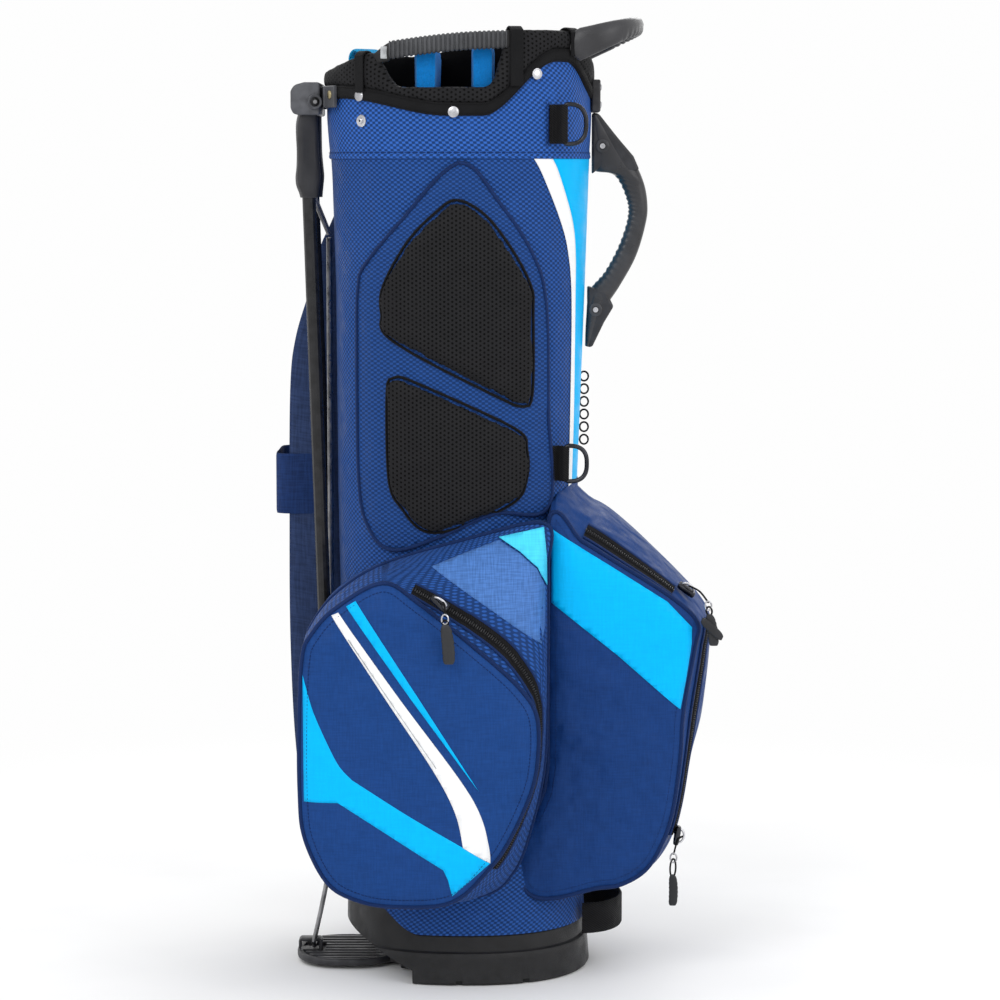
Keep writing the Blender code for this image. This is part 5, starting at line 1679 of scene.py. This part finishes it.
def knuckles():
    """Moulded knuckles at the top of the legs, each with a groove, a stud for its link and a pin's head, dark
    as painted shade in its recess.
    """
    section = superellipse(28, 4.5)
    for side, word in SIDES_OF_BAG:
        frame_here = leg_frame(side)
        rows = curved([(z, low, high) for z, low, high, _ in KNUCKLE], 4)
        depths = curved([(z, half, 0) for z, _, _, half in KNUCKLE], 4)
        rings = []
        for row, depth in zip(rows, depths):
            z, low, high, half = row.x, row.y, row.z, depth.y
            ring = []
            grooved = 0.0016 * ease(-z, 0.022, 0.030) * (1 - ease(-z, 0.052, 0.060))
            for a, b in section:
                groove = grooved * (abs(a) < 0.45)
                x = (low + high) / 2 + (high - low) / 2 * a
                ring.append(frame_here @ Vector((x, half * b - math.copysign(groove, b), z)))
            rings.append(ring)
        body = "leg_" + word
        made = piece("knuckle_" + word, skin(rings), PLASTIC, body, "black_plastic", ["leg_knuckle_" + word])
        hole = tube_mesh([frame_here @ Vector((0, y, 0)) for y in (-0.02, 0.02)], 0.0029, 24)
        cut_away(made, hole)
        one_material(made, PLASTIC, 50)
        centre = frame_here @ Vector((-0.0030, -side * 0.0056, -0.0660))
        way = frame_here.to_3x3() @ Vector((0, -side, 0))
        stud = [(0.0034, 0.0), (0.0034, 0.0012), (0.0028, 0.0018), (0.0010, 0.0018)]
        turned_on("link_stud_" + word, centre, way, stud, BLACK_WIRE, body, "spring_steel")
        outside = frame_here @ Vector((0, side * 0.0176, 0))
        way = frame_here.to_3x3() @ Vector((0, side, 0))
        boss = [(0.0068, -0.0012), (0.0068, 0.0006), (0.0060, 0.0012), (0.0047, 0.0010), (0.0045, -0.0004)]
        turned_on("leg_pin_boss_" + word, outside, way, boss, GREY_PLASTIC, slot="grey_plastic")
        # The pin's head is dark metal: a painted shade for the recess round the hex socket.
        head = [(0.0041, -0.0012), (0.0041, 0.0002), (0.0034, 0.0006), (0.0022, 0.0006)]
        turned_on("leg_pin_head_recess_shade_" + word, outside, way, head, BLACK_WIRE, slot="nickel")
        socket = [(0.0020, 0.0002), (0.0020, 0.0009), (0.0012, 0.0009)]
        turned_on("leg_pin_socket_" + word, outside, way, socket, SPRING_STEEL, slot="nickel", sides=6)


def housing():
    """The hinge housing of the stand: slotted for both knuckles, with a riveted flange each side."""
    outline = ((-0.1568, 0.8060), (-0.1540, 0.8010), (-0.1480, 0.8000), (-0.1296, 0.8000), (-0.1296, 0.8300),
               (-0.1440, 0.8300), (-0.1530, 0.8275), (-0.1568, 0.8220))
    rings = [flat_shape(outline, y) for y in (-0.045, 0.045)]
    made = piece("housing_block", skin(rings), GREY_PLASTIC, slot="grey_plastic", replaces=["stand_housing"])
    bevelled(made, 0.0022, 3, 20)
    freeze(made)
    for side, _ in SIDES_OF_BAG:
        slot = block_mesh((-0.035, -0.0072, -0.020), (0.0083, 0.0072, 0.0083))
        slot.transform(leg_frame(side))
        cut_away(made, slot)
        inner, outer = sorted((-side * 0.0154, side * 0.024))
        hole = tube_mesh([leg_frame(side) @ Vector((0, y, 0)) for y in (inner, outer)], 0.0028, 24)
        cut_away(made, hole)
    one_material(made, GREY_PLASTIC, 32)
    for side, word in SIDES_OF_BAG:
        start, end = side * math.radians(171), side * math.radians(149)
        line = [wall_point(start + (end - start) * i / 16, 0.8165, 0.0060) for i in range(17)]
        flange = strip_mesh(line, 0.0200, 0.0034, (0, 0, 1))
        bevelled(piece("housing_flange_" + word, flange, GREY_PLASTIC, slot="grey_plastic"), 0.0010)
        turn = side * math.radians(153.5)
        place = wall_point(turn, 0.8180, 0.0077)
        _, way = wall_ways(turn, 0.818)
        dome("flange_rivet_" + word, place, way, 0.0042, 0.0016, BRASS)
        foot = wall_point(side * math.radians(160), 0.8165, 0.0080)
        ridge = [foot + Vector((0, 0, z)) for z in (-0.009, 0.009)]
        piece("housing_ridge_" + word, tube_mesh(ridge, 0.0010, 8), GREY_PLASTIC, slot="grey_plastic")


PEDAL_AXIS = Vector((-0.053, 0.0, 0.006))
PEDAL_POWER = 2.5
# The pedal's rim and pan: how far in from its outline, and height.
PEDAL_PROFILE = (
    (0.0020, 0.0030), (0.0004, 0.0036), (0.0, 0.0050), (0.0, 0.0078), (0.0006, 0.0090),
    (0.0018, 0.0096), (0.0038, 0.0096), (0.0050, 0.0088), (0.0056, 0.0066), (0.0300, 0.0064),
)


def pedal():
    """The foot pedal: a rimmed oval with raised tread bars, a barrel on its pin and the rod's lug."""
    low, high, half_width = -0.158, -0.059, 0.050
    middle, half = (low + high) / 2, (high - low) / 2
    rings = []
    for inset, z in PEDAL_PROFILE:
        unit = superellipse(96, PEDAL_POWER)
        rings.append([(middle + (half - inset) * a, (half_width - inset) * b, z) for a, b in unit])
    plate = skin(rings)
    bars = []
    for i in range(9):
        y = -0.0400 + 0.0100 * i
        reach = half * (1 - (abs(y) / half_width) ** PEDAL_POWER) ** (1 / PEDAL_POWER) - 0.0070
        start, end = middle - reach, middle + reach
        if abs(y) < 0.0120:
            start = -0.1310
        path = [(start + (end - start) * k / 8, y, 0.0076) for k in range(9)]
        bars.append(strip_mesh(path, 0.0046, 0.0046, (0, 1, 0)))
    reach = 0.0390
    arm = block_mesh((-0.082, -reach + 0.004, 0.0033), (PEDAL_AXIS.x, reach - 0.004, 0.0092))
    line = [(PEDAL_AXIS.x, y, PEDAL_AXIS.z) for y in (-reach, -reach + 0.001, reach - 0.001, reach)]
    barrel = tube_mesh(line, lambda share: 0.0042 if 0.2 < share < 0.8 else 0.0036, 24)
    plate = joined([plate, arm, barrel] + bars)
    piece("pedal_plate", plate, PLASTIC, "pedal", "black_plastic", ["pedal"])
    outline = ((-0.1568, 0.0062), (-0.1342, 0.0062), (-0.1342, 0.0172), (-0.1365, 0.0189),
               (-0.1545, 0.0189), (-0.1568, 0.0172))
    lug = skin([flat_shape(outline, y) for y in (-0.0069, 0.0069)])
    holder = piece("pedal_rod_lug", lug, PLASTIC, "pedal", "black_plastic")
    track = ((-0.1545, 0.0085), (-0.1375, 0.0085), (-0.1375, 0.0160), (-0.1545, 0.0160))
    cut_away(holder, skin([flat_shape(track, y) for y in (-0.02, 0.02)]))
    one_material(holder, PLASTIC)
    bevelled(holder, 0.0007, 2)


# --- zip sliders and pullers --------------------------------------------------------------------


# Place along a cast slider, half width and half height.
CAST_STATIONS = (
    (-0.0090, 0.0026, 0.0016), (-0.0082, 0.0034, 0.0024), (-0.0040, 0.0040, 0.0028), (0.0010, 0.0046, 0.0029),
    (0.0060, 0.0049, 0.0028), (0.0084, 0.0046, 0.0024), (0.0090, 0.0038, 0.0016),
)


def slider(name, body, place, ahead, out, replaces):
    """A cast slider: a waisted body with a bridge for the puller."""
    ahead, out = ahead.normalized(), out.normalized()
    across = out.cross(ahead).normalized()
    turn = Matrix((ahead, across, ahead.cross(across).normalized())).transposed().to_4x4()
    put = Matrix.Translation(place) @ turn
    section = superellipse(20, 3.5)
    rings = []
    for x, wide, tall in CAST_STATIONS:
        rings.append([put @ Vector((x, wide * a, tall * b)) for a, b in section])
    up = 1 if turn.to_3x3().col[2].dot(out) > 0 else -1
    arch = [put @ Vector((0.0062 * math.cos(t), 0, up * (0.0022 + 0.0042 * math.sin(t))))
            for t in [math.pi * i / 12 for i in range(13)]]
    piece(name + "_bridge", tube_mesh(arch, 0.0011, 10), NICKEL, body, "nickel")
    piece(name, skin(rings), RING_METAL, body, "nickel", [replaces])


def puller(name, body, hinge, grip_length, radius, lean, replaces, loop_share, crossed):
    """A wire hook, a loop of cord and a moulded grip that hangs below the slider.

    crossed adds a toggle across the grip.
    """
    down = Vector((lean, 0, -1)).normalized()
    hook = []
    for i in range(13):
        turn = math.pi * 2 * i / 12
        hook.append(hinge + Vector((0.0030 * math.sin(turn), 0, -0.0030 + 0.0044 * math.cos(turn))))
    piece(name + "_hook", tube_mesh(hook[:-1], 0.0008, 8, closed=True), NICKEL, body, "nickel", [replaces])
    cord = []
    length = grip_length * loop_share
    for i in range(25):
        turn = 2 * math.pi * i / 24
        cord.append(hinge + down * (0.004 + length / 2 - length / 2 * math.cos(turn))
                    + Vector((0.0026 * math.sin(turn), 0, 0)))
    piece(name + "_cord", tube_mesh(cord[:-1], 0.0009, 8, closed=True), BLACK_THREAD, body, "black_rubber")
    section = superellipse(20, 2.8)
    rings = []
    start = 0.004 + length * 0.86
    for i in range(29):
        share = i / 28
        size = 1 - 0.55 * math.exp(-share * 9) - 0.35 * math.exp(-(1 - share) * 14)
        ridge = 1 - 0.07 * (0.5 - 0.5 * math.cos(2 * math.pi * share * 7)) * (0.2 < share < 0.85)
        wide, deep = radius * size * ridge, radius * 0.62 * size
        centre = hinge + down * (start + (grip_length - start) * share)
        centre.x += 0.0016 * math.sin(share * 2.2)
        rings.append([centre + Vector((wide * a, deep * b, 0)) for a, b in section])
    piece(name + "_grip", skin(rings), PULL_RUBBER, body, "black_rubber")
    if crossed:
        rings = []
        middle = hinge + down * (start + (grip_length - start) * 0.42) + Vector((0, -0.0036, 0))
        for i in range(21):
            share = i / 20
            size = 1 - 0.5 * math.exp(-share * 10) - 0.5 * math.exp(-(1 - share) * 10)
            centre = middle + Vector((-0.0085 + 0.0190 * share, 0, 0.0075 - 0.0170 * share))
            thin = radius * size
            rings.append([centre + thin * Vector((0.35 * a, 0.5 * b, 0.75 * a)) for a, b in section])
        piece(name + "_toggle", skin(rings), PULL_RUBBER, body, "black_rubber")


# Zip, first part of its bodies' names, slider's place, where its travel ends, way out of the cloth,
# puller's hinge, grip's length and radius, lean along X, and the cord's share of the grip's length.
ZIPS = (
    ("hip_zip", "hip", (-0.0180, -0.1860, 0.3680), (0.0480, -0.1860, 0.3145), (0.35, -0.8, 0.55),
     (-0.0130, -0.1980, 0.3580), 0.0430, 0.0058, 0.05, 0.10),
    ("ball_side_zip", "ball_side", (0.2008, -0.0700, 0.1330), (0.2263, -0.0700, 0.2900), (1.0, 0.0, -0.16),
     (0.1970, -0.0800, 0.1170), 0.0480, 0.0043, -0.04, 0.36),
    ("ball_top_zip", "ball_top", (0.2080, -0.0700, 0.3640), (0.1390, -0.0700, 0.4185), (0.5, -0.4, 0.8),
     (0.2260, -0.1045, 0.3570), 0.0400, 0.0050, 0.10, 0.20),
)


def sliders():
    """Each zip's slider and puller, and a lace between them where they are apart."""
    for name, word, start, end, out, hinge, length, radius, lean, loop_share in ZIPS:
        start, end, out, hinge = Vector(start), Vector(end), Vector(out), Vector(hinge)
        slider(name + "_cast", word + "_slider", start, end - start, out, name + "_slider")
        puller(name + "_pull", word + "_puller", hinge, length, radius, lean, name + "_puller", loop_share,
               word == "ball_top")
        reach = hinge + Vector((0, 0, 0.001)) - start
        if reach.length > 0.012:
            sag = start + reach * 0.5 + Vector((0.002, -0.001, 0.004))
            mesh = tube_mesh(curved([start + out.normalized() * 0.005, sag, hinge]), 0.0009, 8)
            piece(name + "_lace", mesh, BLACK_THREAD, word + "_slider", "black_rubber")


def finish_frame():
    """Procedural finishes for the nodes that stay as they are."""
    finishes = {
        SPRING_STEEL: ("actuator_rod", "link_wire_near", "link_wire_far", "pedal_pin"),
        LEG_BLACK: ("leg_tube_near", "leg_tube_far"),
        RUBBER: ("leg_foot_near", "leg_foot_far"),
        NICKEL: ("leg_pin_near", "leg_pin_far", "handle_screw_upper", "handle_screw_lower"),
        PLASTIC: ("rod_guide", "collar_frame"),
        GREY_PLASTIC: ("stay_hip", "stay_leg", "stay_pocket"),
    }
    for material, names in finishes.items():
        for name in names:
            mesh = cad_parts[name].data
            mesh.materials.clear()
            mesh.materials.append(material)


# --- studio -------------------------------------------------------------------------------------

PAPER_WHITE = 0.99
GLOW_START, GLOW_END = 0.35, 1.3  # distances from the bag between which the floor turns to paper white


def aimed(made, place, target):
    """Puts a lamp or a camera in its place, looking at the target."""
    made.location = place
    made.rotation_euler = (Vector(target) - Vector(place)).to_track_quat("-Z", "Y").to_euler()
    return made


def lamp(name, place, target, size, power):
    """A round soft lamp aimed at the target."""
    data = bpy.data.lights.new(name, "AREA")
    data.shape = "DISK"
    data.size = size
    data.energy = power
    made = bpy.data.objects.new(name, data)
    bpy.context.scene.collection.objects.link(made)
    return aimed(made, place, target)


def studio():
    """Pale floor, soft lamps all round and the camera at a standing person's height."""
    lens = bpy.data.cameras.new("camera")
    lens.sensor_width = 36.0
    lens.lens = 111.2
    camera = bpy.data.objects.new("camera", lens)
    bpy.context.scene.collection.objects.link(camera)
    aimed(camera, (0.0357, -2.9, 0.75), (0.0357, 0.0, 0.44))
    bpy.context.scene.camera = camera
    world = bpy.data.worlds.new("studio")
    world.use_nodes = True
    world.node_tree.nodes["Background"].inputs["Color"].default_value = (1.0, 1.0, 1.0, 1.0)
    world.node_tree.nodes["Background"].inputs["Strength"].default_value = PAPER_WHITE
    bpy.context.scene.world = world
    bpy.context.scene.view_settings.view_transform = "Standard"
    lamp("key", (-1.3, -2.4, 2.3), (0, 0, 0.5), 1.6, 27)
    lamp("fill", (2.0, -1.8, 1.5), (0, 0, 0.45), 1.8, 16)
    lamp("back", (0.6, 2.4, 2.2), (0, 0, 0.5), 1.8, 18)
    rows = [[(30.0 * x, 30.0 * y, -0.0004) for x in (-1, 0, 1)] for y in (-1, 0, 1)]
    mesh = skin(rows, closed=False)
    mesh.name = "floor"
    paper = Finish("floor_paper", 0.9)
    place = paper.tree.nodes.new("ShaderNodeSeparateXYZ")
    paper.tree.links.new(paper.add("TexCoord", out=3), place.inputs[0])
    squares = [paper.calc("MULTIPLY", place.outputs[i], place.outputs[i]) for i in (0, 1)]
    away = paper.calc("SQRT", paper.calc("ADD", squares[0], squares[1]))
    glow = paper.calc("MULTIPLY", paper.step(away, GLOW_START, GLOW_END), PAPER_WHITE)
    paper.tree.links.new(glow, paper.shader.inputs["Emission Strength"])
    paper.shader.inputs["Emission Color"].default_value = (1.0, 1.0, 1.0, 1.0)
    near = paper.mix(paper.spots(3), (0.86, 0.86, 0.86), (0.90, 0.90, 0.90))
    paper.colour(paper.mix(paper.step(away, GLOW_START, GLOW_END), near, (0.0, 0.0, 0.0)))
    paper.shader.inputs["Specular IOR Level"].default_value = 0.0
    mesh.materials.append(paper.material)
    floor = bpy.data.objects.new("floor", mesh)
    bpy.context.scene.collection.objects.link(floor)


studio()
tube = tube_wall()
cuff = cuff_band()
mouth_trim()
mouth_pad()
mouth_extras()
rim_fleece()
dividers()
base()
spine_graphics()
hip_pad(tree_of(tube))
gusset, face, front, back = hip_pocket()
hip_pocket_zip(gusset, front, back)
hip_pocket_prints(gusset, face)
ball_pocket_zips(ball_pocket())
apparel_pocket()
loops()
rim_grip()
lift_handle()
carry_handle()
rivets()
d_rings(tree_of(tube, cuff))
tee_loops()
housing()
knuckles()
pedal()
sliders()
finish_frame()
